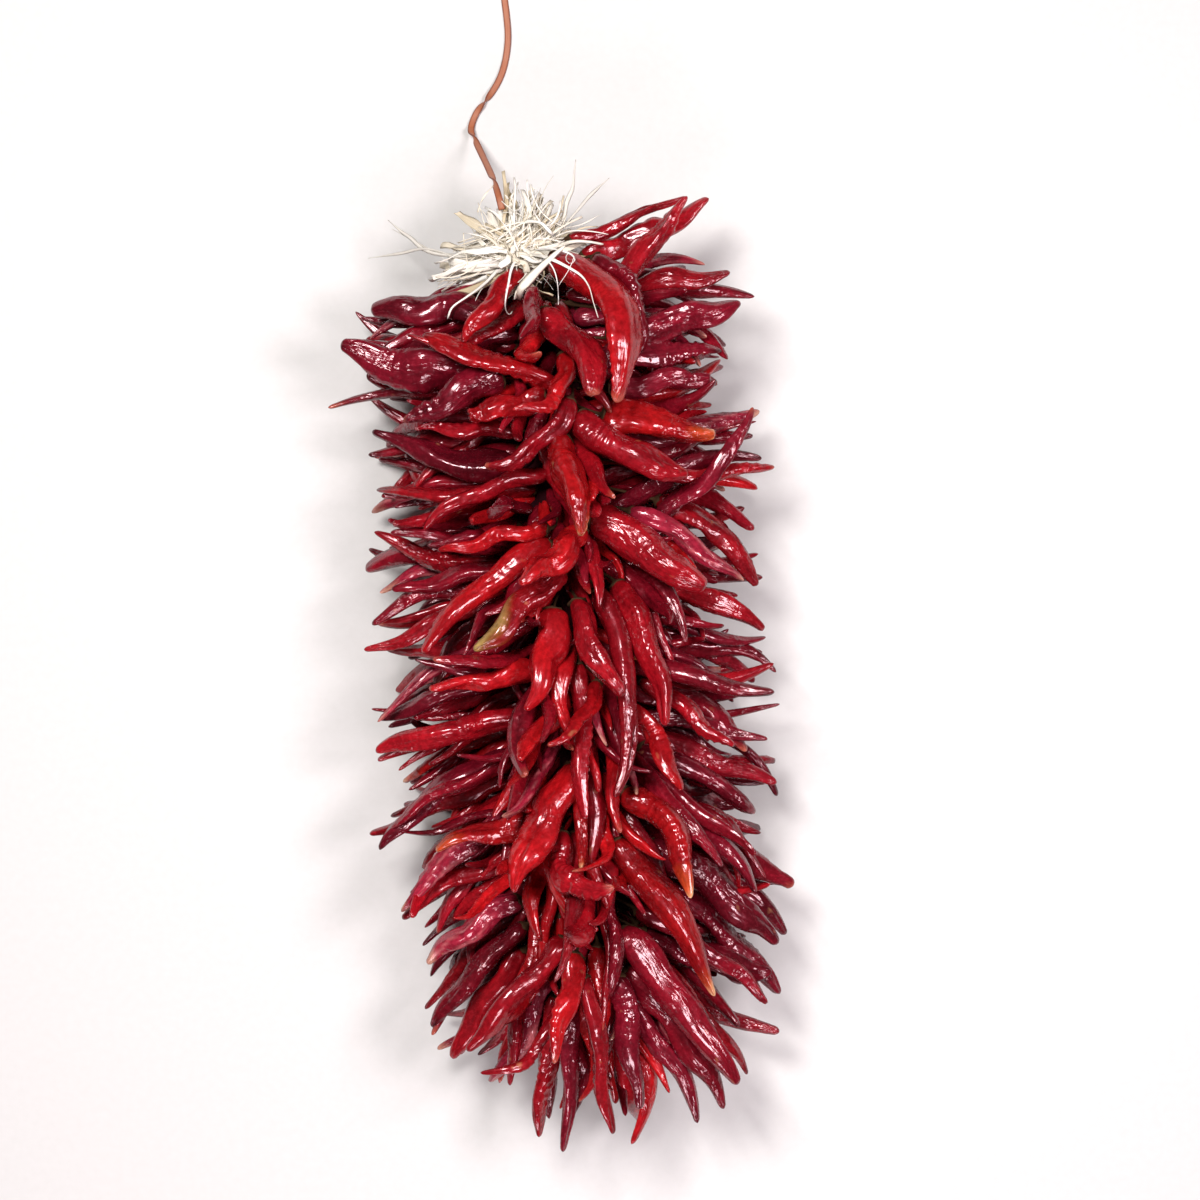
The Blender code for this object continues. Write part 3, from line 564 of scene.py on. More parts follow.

# What kind each pod is: those of TOP_PODS as listed; of the rest, mostly crimson in the middle and maroon at the
# sides. Rather more than half of the crimson ones are of a deeper crimson, d.
rng = np.random.default_rng(SEED + 1)
middle = centreline(pods, [0.6])[:, 0]
from_string = np.abs(middle[:, 0] - (STRING_TOP + STRING_FOOT)[0] / 2)
chance = rng.uniform(size=pod_total) - 0.9 * from_string / 0.1 * 0.35 + (middle[:, 2] - 0.09) * 2
kinds = np.where(chance > 0.66, "s", np.where(chance > 0.24, "c", np.where(chance > -0.10, "k", "m")))
odd = rng.uniform(size=pod_total)
kinds = np.where(odd < 0.012, "r", np.where(odd < 0.016, "y", np.where(odd < 0.056, "p", kinds)))
kinds = np.where((kinds == "c") & (rng.uniform(size=pod_total) < 0.55), "d", kinds)
kinds[laid_by_hand] = [row[9] for row in TOP_PODS]

# The ribs' spacing round a pod and along it, how many it has, how deep the skin sinks at each kind of fold, and how
# slack the skin of each kind of pod is.
RIB_GAP = 0.0046
RIB_LENGTH = 0.0300
RIB_COUNT = 18
RIB_DEPTH = 0.0010
DENT_DEPTH = 0.0011
CREASE_DEPTH = 0.0016
CREASE_WIDTH = 0.0019
PUCKER_DEPTH = 0.0009
GATHER_DEPTH = 0.0003
SLACK = {"s": 0.8, "r": 0.85, "c": 0.95, "d": 1.05, "k": 1.1, "m": 1.25, "y": 1.1, "p": 1.3}


def lay_over(colour, tint, share):
    """The colour with a tint laid over it by a share from 0 to 1 at each point."""
    share = np.clip(share, 0, 1)[..., None]
    return colour * (1 - share) + np.array(linear(tint)[:3]) * share


def waves(rng, count, t, around, pitch):
    """A smooth field over each pod, about -1 to 1: a sum of five waves, each with 0 to 2 lobes round it and a
    random pitch."""
    total = 0
    for _ in range(5):
        lobes, turns = rng.integers(0, 3, (count, 1, 1)), rng.uniform(0.4, pitch, (count, 1, 1))
        total = total + np.cos(lobes * around[None, None] + 2 * math.pi * turns * t[None, :, None]
                               + rng.uniform(0, 6.3, (count, 1, 1)))
    return total / 2.6


def pod_colours(kind, t, around, ridge, rng, count):
    """Linear colour at each point of the pods of one kind, (pod, ring, side, 3): the pod's own red in two shades that
    drift over it, with painted shade darkening the hollows and the quarter by the stem and painted light on the
    ridges, then whatever its kind has at the tip or in patches."""
    low, high = {"s": ("#8C0C13", "#B21217"), "c": ("#760A14", "#9C0F1A"), "d": ("#6C0A16", "#8E0F1E"),
                 "k": ("#600916", "#800E1E"), "m": ("#540A16", "#740F20"), "r": ("#800B10", "#A41114"),
                 "y": ("#7A0B12", "#981018"), "p": ("#720F22", "#961F34")}[kind]

    def draw(least, most):
        return rng.uniform(least, most, (count, 1, 1))

    drift = waves(rng, count, t, around, 3.0)
    colour = lay_over(np.array(linear(low)[:3]), high, draw(0.1, 0.9) + 0.34 * drift)
    late, round_pod = t[None, :, None], around[None, None]
    # Painted shade and light: darker in the hollows and creases, lighter on the ridges, and darker over the first
    # quarter by the stem.
    shade = 1 + 0.26 * np.clip(ridge, 0, 1) - 0.50 * np.clip(-ridge, 0, 1)
    shade = shade * (0.70 + 0.30 * np.clip(late * 4, 0, 1)) * draw(0.88, 1.12)
    colour = colour * shade[..., None]
    waver = 0.05 * waves(rng, count, t, around, 4.0)
    some = draw(0, 1)
    colour = lay_over(colour, "#B05A46", (some < 0.14) * (late + 0.4 * waver - 0.955) * 16)
    colour = lay_over(colour, "#2E070D", (some > 0.62) * (late + waver - 0.93) * 7)
    if kind == "r":
        begin = draw(0.76, 0.88)
        colour = lay_over(colour, "#B8461C", (late + waver - begin) * 6)
        colour = lay_over(colour, "#DCA878", (late + waver - 0.935) * 14)
    if kind == "y":
        spot = np.cos(round_pod - 2 * np.pi * draw(0, 1))
        begin = draw(0.50, 0.86)
        colour = lay_over(colour, "#744A1E", (late + 1.5 * waver + 0.16 * spot - begin) * 5)
        colour = lay_over(colour, "#A98C52", (late + 1.8 * waver + 0.20 * spot - begin - 0.10) * 6)
        stripes = np.clip(np.sin(5 * round_pod + 3 * late), 0, 1)
        colour = lay_over(colour, "#6E5222", (late - begin - 0.05) * 3 * stripes)
    if kind == "p":
        streak = np.sin(4 * round_pod + 7 * late + 6 * draw(0, 1) + 2 * drift)
        colour = lay_over(colour, "#C9787A", (streak - 0.62) * 1.4 * np.clip(late * 3 - 0.8, 0, 1))
        colour = lay_over(colour, "#CE9A84", (late + waver - 0.93) * 9)
    return colour


def wrapped(angle):
    """The same angle, between minus half a turn and half a turn."""
    return (angle + math.pi) % (2 * math.pi) - math.pi


def with_ends(grid):
    """Values on (tube, ring, side) as one list of points, where each tube's two end middles come after its rings
    and take the values of the first point of the first and of the last ring."""
    rows = np.concatenate([grid.reshape(len(grid), -1, grid.shape[-1]), grid[:, 0, :1], grid[:, -1, :1]], 1)
    return rows.reshape(-1, grid.shape[-1])


def pod_skins(kind, chosen, rings, sides):
    """The skins of some pods, every one a grid of rings along its bent line and sides around it. The half-width is
    the shoulder and taper, times a flattened five-sided section (a soft polygon by the seventh-power norm) that
    turns along the pod. From it the skin sinks between ribs (one minus the fall-off from the border of each long
    cell), into dents and along creases."""
    count, by_hand = len(chosen), laid_by_hand[chosen]
    rng = np.random.default_rng(SEED + 100 * ord(kind) + rings)

    def draw(least, most, *shape):
        return rng.uniform(least, most, (count, 1, 1, *shape))

    cap = np.array((0.35, 0.65, 0.88, 0.99))
    t = np.concatenate([0.004 + 0.970 * np.linspace(0, 1, rings - 4) ** 1.15, 0.974 + 0.026 * cap])
    around = 2 * math.pi * np.arange(sides) / sides
    late, round_pod = t[None, :, None], around[None, None]
    mine = {name: values[chosen] for name, values in pods.items()}
    line = centreline(mine, t)
    across, up = turned_frames(line)
    sway = rng.uniform(0, 2 * math.pi, (count, 1, 2)) + 2 * math.pi * late * rng.uniform(0.9, 2.2, (count, 1, 2))
    sway = 0.0013 * np.sin(sway) * np.clip(t * 4, 0, 1)[None, :, None]
    curl = rng.normal(0, 1, (count, 1, 2)) * np.where(by_hand, 0.0022, 0.0062)[:, None, None]
    sway = 1.5 * sway + curl * (np.clip((t - 0.58) / 0.42, 0, 1) ** 1.7)[None, :, None]
    line = line + across * sway[..., :1] + up * sway[..., 1:]
    across, up = turned_frames(line)
    length = np.linalg.norm(np.diff(line, axis=1), axis=2).sum(1)[:, None, None]
    half = mine["width"][:, None] / 2 * np.where(by_hand, 0.93, 0.86)[:, None]

    # The half-width along each pod, with three slight swellings or waists, closed by a round cap.
    start, power = rng.uniform(0.20, 0.55, (count, 1)), rng.uniform(1.9, 3.3, (count, 1))
    shoulder = np.sqrt(np.clip(1 - (1 - np.clip(t / 0.12, 0, 1)) ** 2, 0, 1))
    tip_share = rng.uniform(0.14, 0.34, (count, 1))
    body = shoulder * (1 - (1 - tip_share) * np.clip((t - start) / (1 - start), 0, 1) ** power)
    for _ in range(3):
        at = rng.uniform(0.15, 0.9, (count, 1))
        swell = np.exp(-((t - at) / rng.uniform(0.02, 0.07, (count, 1))) ** 2)
        body = body * (1 - rng.uniform(-0.06, 0.12, (count, 1)) * swell)
    body[:, -4:] *= np.sqrt(1 - cap**2)
    radius = (body * half)[..., None]

    # The flattened five-sided section.
    bearing = round_pod - (draw(0, 2 * math.pi) + draw(-1.8, 1.8) * late)
    flat = draw(0.62, 0.92)
    oval = 1 / np.sqrt(np.cos(bearing) ** 2 * flat + np.sin(bearing) ** 2 / flat)
    facing = 2 * math.pi * (np.arange(5) + draw(-0.3, 0.3, 5)) / 5
    reach = draw(0.66, 1.0, 5) + 0.12 * np.sin(2 * math.pi * late[..., None] * draw(0.6, 2.6, 5) + draw(0, 6.3, 5))
    toward = np.clip(np.cos(bearing[..., None] - facing), 0, None) / reach
    facets = (toward**7).sum(-1) ** (-1 / 7)
    facets = facets / facets.mean(axis=(1, 2), keepdims=True)
    grown = np.clip(late * 6, 0.15, 1)
    section = oval * (1 + (facets - 1) * grown * draw(0.5, 1.1))

    # The ribs, then four dents, three creases, cross puckers on half of the pods, and gathers at the stem.
    rib_turn, rib_along = rng.uniform(0, 2 * math.pi, (count, RIB_COUNT)), rng.uniform(0, 1, (count, RIB_COUNT))
    near_turn = (wrapped(around[None, :, None] - rib_turn[:, None]) * half[..., None] * 0.85 / RIB_GAP)[:, None]
    near_along = ((late - rib_along[:, None]) * length / RIB_LENGTH)[:, :, None]
    gaps = np.sort(np.sqrt(near_turn**2 + near_along**2), axis=-1)[..., :2]
    sunk = 1 - np.exp(-2.6 * (gaps[..., 1] - gaps[..., 0]))
    slack = np.clip((0.55 + 0.55 * waves(rng, count, t, around, 2.5)) * draw(0.5, 1.2), 0.08, 1.3) * grown
    slack = slack * SLACK[kind]
    hollow, crease = np.zeros_like(slack), np.zeros_like(slack)
    for _ in range(4):
        off = wrapped(round_pod - draw(0, 6.3)) * half[..., None] / draw(0.0025, 0.006)
        far = (late - draw(0.1, 0.92)) * length / draw(0.006, 0.030)
        hollow += draw(0.2, 1.0) * np.exp(-(off**2 + far**2) ** 1.5)
    for way in (1, 1, -0.7):
        at = draw(0, 6.3) + draw(-1.2, 1.2) * np.sin(late * draw(2, 8)) + 0.25 * np.sin(late * draw(18, 40))
        off = wrapped(round_pod - at) * half[..., None]
        begin = draw(0.05, 0.6)
        within = np.clip((late - begin) * 9, 0, 1) * np.clip((begin + draw(0.2, 0.6) - late) * 9, 0, 1)
        crease += way * draw(0.3, 1) * np.exp(-(off / CREASE_WIDTH) ** 2) * within
    pucker = np.sin(2 * math.pi * late * length / draw(0.006, 0.009) + 1.5 * waves(rng, count, t, around, 2.0))
    puckered = np.clip(waves(rng, count, t, around, 1.6) - 0.15, 0, 1) * (draw(0, 1) < 0.5)
    relief = -RIB_DEPTH * sunk * slack - DENT_DEPTH * hollow * grown - CREASE_DEPTH * crease
    relief = relief + PUCKER_DEPTH * pucker * puckered * grown
    relief = relief + GATHER_DEPTH * (np.cos(9 * round_pod + draw(0, 6.3)) * np.clip(1 - late * 7, 0, 1))
    skin = np.maximum(radius * section + relief * np.clip(radius / 0.0055, 0, 1), radius * 0.35)

    cos, sin = np.cos(around)[:, None], np.sin(around)[:, None]
    points = line[:, :, None] + skin[..., None] * (across[:, :, None] * cos + up[:, :, None] * sin)
    points[..., 2] = np.maximum(points[..., 2], TABLE_GAP)
    ends = points[:, (0, -1)].mean(2) + np.stack([line[:, 0] - line[:, 1], line[:, -1] - line[:, -2]], 1) * 0.1
    ends[..., 2] = np.maximum(ends[..., 2], TABLE_GAP)
    verts = np.concatenate([points.reshape(count, -1, 3), ends], 1).reshape(-1, 3)

    # The colour follows the relief, as painted shade in the hollows and creases and painted light on the ridges; the
    # pattern's place is that of the unbent pod, shifted for each by its own draw.
    ridge = slack * (0.55 - sunk) * 1.3 - 0.6 * crease - 0.45 * hollow
    colour = with_ends(pod_colours(kind, t, around, ridge, rng, count))
    rest = np.stack([cos[:, 0] * half[..., None] + 0 * ridge, sin[:, 0] * half[..., None] + 0 * ridge,
                     late * length + 0 * ridge], -1)
    rest = with_ends(rest + draw(0, 1, 3))
    return verts, *tube_faces(rings, sides, count), np.column_stack([colour, np.ones(len(colour))]), rest


def join_parts(parts):
    """Lists of points, quads, triangles and values at the points, made into one; the faces are counted on from part
    to part."""
    starts = np.cumsum([0] + [len(part[0]) for part in parts])
    joined = [np.concatenate(rows) for rows in zip(*parts)]
    for k in (1, 2):
        joined[k] = np.concatenate([part[k] + start for part, start in zip(parts, starts)])
    return joined


def chilli_skin(name, roughness, coat, wrinkle):
    """Dried chilli skin: a thin glossy cuticle over leathery red flesh. The colour comes from the mesh, with painted
    shade in the hollows and painted light on the ridges, mottled at 4 mm, speckled at 0.9 mm, and scuffed pale in a
    few patches 14 mm wide. Wrinkles run along the pod 4 mm apart; in patches of 22 mm others cross them as far apart,
    and folds run along the borders of cells 6 mm wide and 12 mm long."""
    made, tree, shader = new_material(name)
    skin_colour = add_node(tree, "ShaderNodeAttribute", {"attribute_name": "skin_colour"})
    place = add_node(tree, "ShaderNodeAttribute", {"attribute_name": "skin_place"}).outputs["Vector"]
    mottle = add_node(tree, "ShaderNodeTexNoise", Vector=place, Scale=240.0, Detail=4.0, Roughness=0.6)
    speckle = add_node(tree, "ShaderNodeTexNoise", Vector=place, Scale=1100.0, Detail=2.0)
    dark = add_node(tree, "ShaderNodeMapRange", Value=mottle.outputs["Fac"],
                    From_Min=0.3, From_Max=0.72, To_Min=0.62, To_Max=1.22)
    fleck = add_node(tree, "ShaderNodeMapRange", Value=speckle.outputs["Fac"],
                     From_Min=0.2, From_Max=0.42, To_Min=0.78, To_Max=1.0)
    level = add_node(tree, "ShaderNodeMath", {"operation": "MULTIPLY"}, i0=dark.outputs[0], i1=fleck.outputs[0])
    colour = add_node(tree, "ShaderNodeVectorMath", {"operation": "SCALE"},
                      i0=skin_colour.outputs["Color"], Scale=level.outputs[0])
    scuffs = add_node(tree, "ShaderNodeTexNoise", Vector=place, Scale=70.0, Detail=2.0)
    scuffed = add_node(tree, "ShaderNodeMapRange", Value=scuffs.outputs["Fac"],
                       From_Min=0.71, From_Max=0.82, To_Min=0.0, To_Max=0.5)
    worn = add_node(tree, "ShaderNodeMix", {"data_type": "RGBA"}, Factor=scuffed.outputs[0],
                    i6=colour.outputs[0], i7=linear("#C08A62"))
    gloss = add_node(tree, "ShaderNodeMapRange", Value=mottle.outputs["Fac"],
                     From_Min=0.3, From_Max=0.7, To_Min=roughness - 0.06, To_Max=roughness + 0.10)
    drawn = add_node(tree, "ShaderNodeMapping", Vector=place, Scale=(1.0, 1.0, 0.34))
    along = add_node(tree, "ShaderNodeTexNoise", Vector=drawn.outputs[0],
                     Scale=270.0, Detail=1.5, Roughness=0.5, Distortion=0.8)
    squeezed = add_node(tree, "ShaderNodeMapping", Vector=place, Scale=(0.35, 0.35, 1.0))
    cross = add_node(tree, "ShaderNodeTexNoise", Vector=squeezed.outputs[0],
                     Scale=230.0, Detail=1.0, Distortion=0.5)
    patch = add_node(tree, "ShaderNodeTexNoise", Vector=place, Scale=45.0, Detail=1.0)
    crossed = add_node(tree, "ShaderNodeMapRange", Value=patch.outputs["Fac"],
                       From_Min=0.46, From_Max=0.60, To_Min=0.0, To_Max=1.0)
    ribbed = add_node(tree, "ShaderNodeMapping", Vector=place, Scale=(1.0, 1.0, 0.5))
    cells = add_node(tree, "ShaderNodeTexVoronoi", {"feature": "DISTANCE_TO_EDGE"},
                     Vector=ribbed.outputs[0], Scale=170.0)
    folds = add_node(tree, "ShaderNodeMapRange", Value=cells.outputs[0],
                     From_Min=0.0, From_Max=0.22, To_Min=0.42, To_Max=0.0)
    folds = add_node(tree, "ShaderNodeMath", {"operation": "MULTIPLY"}, i0=folds.outputs[0], i1=crossed.outputs[0])
    both = add_node(tree, "ShaderNodeMath", {"operation": "MULTIPLY_ADD"},
                    i0=cross.outputs["Fac"], i1=crossed.outputs[0], i2=along.outputs["Fac"])
    height = add_node(tree, "ShaderNodeMath", {"operation": "ADD"}, i0=folds.outputs[0], i1=both.outputs[0])
    spread = add_node(tree, "ShaderNodeTexNoise", Vector=place, Scale=14.0, Detail=1.0)
    depth = add_node(tree, "ShaderNodeMapRange", Value=spread.outputs["Fac"],
                     From_Min=0.34, From_Max=0.66, To_Min=0.30 * wrinkle, To_Max=1.30 * wrinkle)
    bump = add_node(tree, "ShaderNodeBump", Height=height.outputs[0], Strength=depth.outputs[0], Distance=0.0016)
    set_inputs(tree, shader, Base_Color=worn.outputs[2], Roughness=gloss.outputs[0], Normal=bump.outputs[0],
               IOR=1.45, Specular_IOR_Level=0.46, Specular_Tint=(1.0, 0.30, 0.42, 1.0),
               Coat_Normal=bump.outputs[0], Coat_Weight=coat, Coat_IOR=2.2, Coat_Roughness=0.14)
    return made


# The piece and the skin of each kind of pod, then how finely the pods are drawn: those on top most, the filling least.
skins = {"s": ("pods_scarlet", chilli_skin("dried_chilli_skin_scarlet", 0.24, 0.22, 0.40)),
         "c": ("pods_crimson", chilli_skin("dried_chilli_skin_crimson", 0.24, 0.23, 0.48)),
         "d": ("pods_deep_crimson", chilli_skin("dried_chilli_skin_deep_crimson", 0.24, 0.24, 0.56)),
         "k": ("pods_carmine", chilli_skin("dried_chilli_skin_carmine", 0.23, 0.23, 0.56)),
         "m": ("pods_maroon", chilli_skin("dried_chilli_skin_maroon", 0.23, 0.23, 0.52)),
         "r": ("pods_rusty_tipped", chilli_skin("dried_chilli_skin_rusty", 0.25, 0.20, 0.50)),
         "y": ("pods_straw_patched", chilli_skin("dried_chilli_skin_straw", 0.27, 0.17, 0.60)),
         "p": ("pods_pale_streaked", chilli_skin("dried_chilli_skin_pale", 0.24, 0.22, 0.64))}
grids = ((laid_by_hand, 56, 28), (~laid_by_hand & ~filling, 36, 18), (filling, 28, 14))
for kind, (name, material) in skins.items():
    verts, quads, tris, rgba, rest = join_parts([
        pod_skins(kind, np.flatnonzero((kinds == kind) & group), rings, sides)
        for group, rings, sides in grids if (kinds[group] == kind).any()])
    piece = mesh_piece(name, verts, quads, tris, material, "dried_chilli_skin", skin_colour=rgba, skin_place=rest)
    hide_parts("chillies")


# ---------------------------------------------------------------------------------------------------------------------
# The stems: each pod keeps its woody stalk and the small cap that held it to the plant. The stalks are tied in rows to
# the cord inside, where they make a rough wad along the whole string, coloured nearly black as painted shade, which
# shows between the pods.

CORE_WIDE = 0.026
CORE_HIGH = 0.023
STEM_SIDES = 8
STEM_WIDTH = 0.0024
CAP_DEPTH = 0.0030

# Dried stalk wood: matt and fibrous, brown to olive in patches of 8 mm, with the fibres drawn 1 mm apart.
stalk, tree, shader = new_material("dried_chilli_stalk")
at = add_node(tree, "ShaderNodeTexCoord").outputs["Object"]
shade = add_node(tree, "ShaderNodeTexNoise", Vector=at, Scale=120.0, Detail=3.0)
fibre = add_node(tree, "ShaderNodeTexNoise", Vector=at, Scale=1000.0, Detail=2.0)
tone = add_node(tree, "ShaderNodeMix", {"data_type": "RGBA"}, Factor=shade.outputs["Fac"],
                i6=linear("#220E08"), i7=linear("#48321C"))
rough = add_node(tree, "ShaderNodeBump", Height=fibre.outputs["Fac"], Strength=0.5, Distance=0.0006)
set_inputs(tree, shader, Base_Color=tone.outputs[2], Normal=rough.outputs[0], Roughness=0.80,
           Specular_IOR_Level=0.15)

# The wad of stalk ends and cord, with the pods' inner skins among them: painted shade, the stalk wood made nearly
# black with a red cast, as it lies deep in shade inside the pods.
wad, tree, shader = new_material("stalk_wad_painted_shade")
at = add_node(tree, "ShaderNodeTexCoord").outputs["Object"]
shade = add_node(tree, "ShaderNodeTexNoise", Vector=at, Scale=160.0, Detail=4.0)
tone = add_node(tree, "ShaderNodeMix", {"data_type": "RGBA"}, Factor=shade.outputs["Fac"],
                i6=linear("#12040A"), i7=linear("#300C10"))
rough = add_node(tree, "ShaderNodeBump", Height=shade.outputs["Fac"], Strength=0.9, Distance=0.003)
set_inputs(tree, shader, Base_Color=tone.outputs[2], Normal=rough.outputs[0], Roughness=0.95,
           Specular_IOR_Level=0.05)


def lumpy_tube(middle, oval, swell):
    """Points of a closed tube: round each ring's middle an oval (side, xyz), grown by its swell (ring, side); then
    the middles of the two ends. Each swell is a radius that closes at the ends, times lumps, sines round and along
    it."""
    points = middle + oval * swell[..., None]
    return np.concatenate([points.reshape(-1, 3), middle[0], middle[-1]])


rings, sides = 90, 40
share = np.linspace(0.001, 0.999, rings)[:, None]
angle = 2 * math.pi * np.arange(sides) / sides
full = np.sqrt(1 - np.abs(2 * share - 1) ** 7)
lumps = 1 + 0.10 * np.sin(5 * angle + 61 * share) * np.sin(3 * angle - 43 * share + 1)
lumps = lumps + 0.07 * np.sin(9 * angle + 90 * share)
middle = STRING_TOP + (0.03 + 0.94 * share[..., None]) * (STRING_FOOT - STRING_TOP)
oval = np.stack([CORE_WIDE * np.cos(angle), 0 * angle, CORE_HIGH * np.sin(angle)], -1)
wad_piece = mesh_piece("stalk_wad", lumpy_tube(middle, oval, full * lumps), *tube_faces(rings, sides), wad,
                       "dried_chilli_skin")
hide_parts("chillies")


def stalks(pods):
    """Every pod's stalk and cap as one turned shape: it leaves the string, bends into the pod's own line by a
    quadratic curve, and flares over the shoulder into a cap with a four-lobed rim."""
    count = len(pods["width"])
    rng = np.random.default_rng(SEED + 7)
    start = centreline(pods, [0.0, 0.03])
    ahead = unit(start[:, 1] - start[:, 0])
    down = STRING_FOOT - STRING_TOP
    root_share = np.clip((start[:, 0] - STRING_TOP) @ down / (down @ down) - 0.03, 0.04, 0.96)
    root = STRING_TOP + root_share[:, None] * down + rng.normal(0, 0.004, (count, 3))
    bend = start[:, 0] - ahead * 0.012
    s = np.array((0, 0.3, 0.6, 0.85))[:, None]
    stem = (1 - s)**2 * root[:, None] + 2 * s * (1 - s) * bend[:, None] + s**2 * start[:, :1]
    depth = np.array((-0.0012, 0.0000, 0.0010, 0.0020, CAP_DEPTH))
    cap = start[:, :1] + ahead[:, None] * depth[:, None]
    line = np.concatenate([stem, cap], 1)
    half = pods["width"][:, None] / 2 * 0.94
    share = np.clip(depth + 0.0008, 0, None) / np.linalg.norm(pods["tip"] - pods["shoulder"], axis=1)[:, None]
    over = half * np.sqrt(np.clip(1 - (1 - np.clip(share / 0.12, 0, 1)) ** 2, 0, 1)) + 0.0005
    over[:, 0] = 0.0017
    radius = np.concatenate([np.tile(STEM_WIDTH / 2 * np.array((1.25, 1.0, 0.95, 1.05)), (count, 1)),
                             np.maximum(over, 0.0018)], 1)
    across, up = turned_frames(line)
    angle = 2 * math.pi * np.arange(STEM_SIDES) / STEM_SIDES
    ring = radius[..., None] * (1 + 0.10 * np.sin(2 * angle + rng.uniform(0, 6.3, (count, 1, 1))))
    cos, sin = np.cos(angle)[:, None], np.sin(angle)[:, None]
    points = line[:, :, None] + ring[..., None] * (across[:, :, None] * cos + up[:, :, None] * sin)
    points[:, -1] += ahead[:, None] * (0.0011 * np.sin(4 * angle + 1))[:, None]
    points[..., 2] = np.maximum(points[..., 2], 0.0003)
    ends = np.stack([line[:, 0], line[:, -1]], 1)
    verts = np.concatenate([points.reshape(count, -1, 3), ends], 1).reshape(-1, 3)
    return verts, *tube_faces(points.shape[1], STEM_SIDES, count)


stalked = {name: values[~filling] for name, values in pods.items()}
stalk_piece = mesh_piece("stalks_and_caps", *stalks(stalked), stalk, "dried_chilli_skin")
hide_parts("chillies")


# ---------------------------------------------------------------------------------------------------------------------
# The tie: dried corn husk torn into strips, gathered over the top of the string and knotted there. The short ends
# stand out in cut-off bunches to the left and upwards, and longer strips and hairs hang over the pods or stray on
# to the table.

HUSK_KNOT = np.array((-0.0390, 0.305, 0.106))
HUSK_THICK = 0.00035
STRIP_RINGS = 12
BUNCH_WIDTHS = (0.0010, 0.0066)
RIBBON_MM = 6


def pods_top(x, y, pods):
    """Height of the highest pod under each point, from the balls along every pod's line; 0 where there is none."""
    t = np.linspace(0.02, 1, 30)
    balls = centreline(pods, t).reshape(-1, 3)
    radius = (half_widths(pods, t) * 1.15 + 0.0012).reshape(-1)
    near = np.hypot(balls[:, 0] - HUSK_KNOT[0], balls[:, 1] - HUSK_KNOT[1]) < 0.16
    balls, radius = balls[near], radius[near]
    flat = (x[..., None] - balls[:, 0]) ** 2 + (y[..., None] - balls[:, 1]) ** 2
    high = balls[:, 2] + np.sqrt(np.clip(radius**2 - flat, 0, None))
    return np.where(flat < radius**2, high, 0).max(-1)


def strips(lines, width, cup, turn, tint):
    """Flat strips of husk along many routes, (strip, ring, xyz). The section is a thin lens cupped by cup of its
    width; it is turned about the route by turn radians, and its last ring is narrowed where the strip was torn.
    Tint is each strip's linear colour. Returns points, quads, end triangles, colour and the place on the strip in
    metres."""
    count, rings = lines.shape[:2]
    u = np.array((-1, -0.5, 0, 0.5, 1, 0.5, 0, -0.5))
    face = np.array((0, 1, 1, 1, 0, -1, -1, -1))
    sides = len(u)
    across, up = turned_frames(lines)
    turn = np.broadcast_to(turn, (count, rings))[..., None]
    wide = across * np.cos(turn) + up * np.sin(turn)
    high = up * np.cos(turn) - across * np.sin(turn)
    width = np.broadcast_to(width, (count, rings))
    flat = u * width[..., None] / 2
    lift = (u**2 - 0.35) * np.reshape(cup, (-1, 1, 1)) * width[..., None] + face * HUSK_THICK / 2
    points = lines[:, :, None] + wide[:, :, None] * flat[..., None] + high[:, :, None] * lift[..., None]
    points[..., 2] = np.maximum(points[..., 2], 0.0003)
    verts = np.concatenate([points.reshape(count, -1, 3), points[:, (0, -1)].mean(2)], 1).reshape(-1, 3)
    steps = np.linalg.norm(np.diff(lines, axis=1), axis=2)
    run = np.concatenate([np.zeros((count, 1)), np.cumsum(steps, axis=1)], 1)
    place = np.stack([flat + np.arange(count)[:, None, None] * 0.037, run[..., None] + 0 * flat, 0 * flat], -1)
    rgba = np.ones((count, rings * sides + 2, 4))
    rgba[..., :3] = tint[:, None]
    return verts, *tube_faces(rings, sides, count), rgba.reshape(-1, 4), with_ends(place)


def tints(rng, names, count):
    """A random linear colour between two neighbours of a row of sRGB hex colours, for each strip."""
    row = np.array([linear(name)[:3] for name in names])
    at = rng.uniform(0, len(row) - 1.001, count)
    low = at.astype(int)
    return row[low] + (row[low + 1] - row[low]) * (at - low)[:, None]


# Dried corn husk: papery and matt with a slight sheen along its veins, which run the length of the strip 0.9 mm
# apart; cream to white, tan between the veins and speckled brown here and there.
husk_paper, tree, shader = new_material("dried_corn_husk")
strip_tint = add_node(tree, "ShaderNodeAttribute", {"attribute_name": "husk_colour"})
place = add_node(tree, "ShaderNodeAttribute", {"attribute_name": "husk_place"}).outputs["Vector"]
drawn = add_node(tree, "ShaderNodeMapping", Vector=place, Scale=(1.0, 0.05, 1.0))
veins = add_node(tree, "ShaderNodeTexNoise", Vector=drawn.outputs[0], Scale=1100.0, Detail=2.0)
blotch = add_node(tree, "ShaderNodeTexNoise", Vector=place, Scale=110.0, Detail=3.0)
vein_tone = add_node(tree, "ShaderNodeMapRange", Value=veins.outputs["Fac"],
                     From_Min=0.30, From_Max=0.62, To_Min=0.84, To_Max=1.04)
toned = add_node(tree, "ShaderNodeVectorMath", {"operation": "SCALE"},
                 i0=strip_tint.outputs["Color"], Scale=vein_tone.outputs[0])
spots = add_node(tree, "ShaderNodeMapRange", Value=blotch.outputs["Fac"],
                 From_Min=0.64, From_Max=0.74, To_Min=0.0, To_Max=0.7)
marked = add_node(tree, "ShaderNodeMix", {"data_type": "RGBA"}, Factor=spots.outputs[0],
                  i6=toned.outputs[0], i7=linear("#A98F68"))
ridges = add_node(tree, "ShaderNodeBump", Height=veins.outputs["Fac"], Strength=0.5, Distance=0.0006)
set_inputs(tree, shader, Base_Color=marked.outputs[2], Normal=ridges.outputs[0], Roughness=0.62,
           Specular_IOR_Level=0.35)


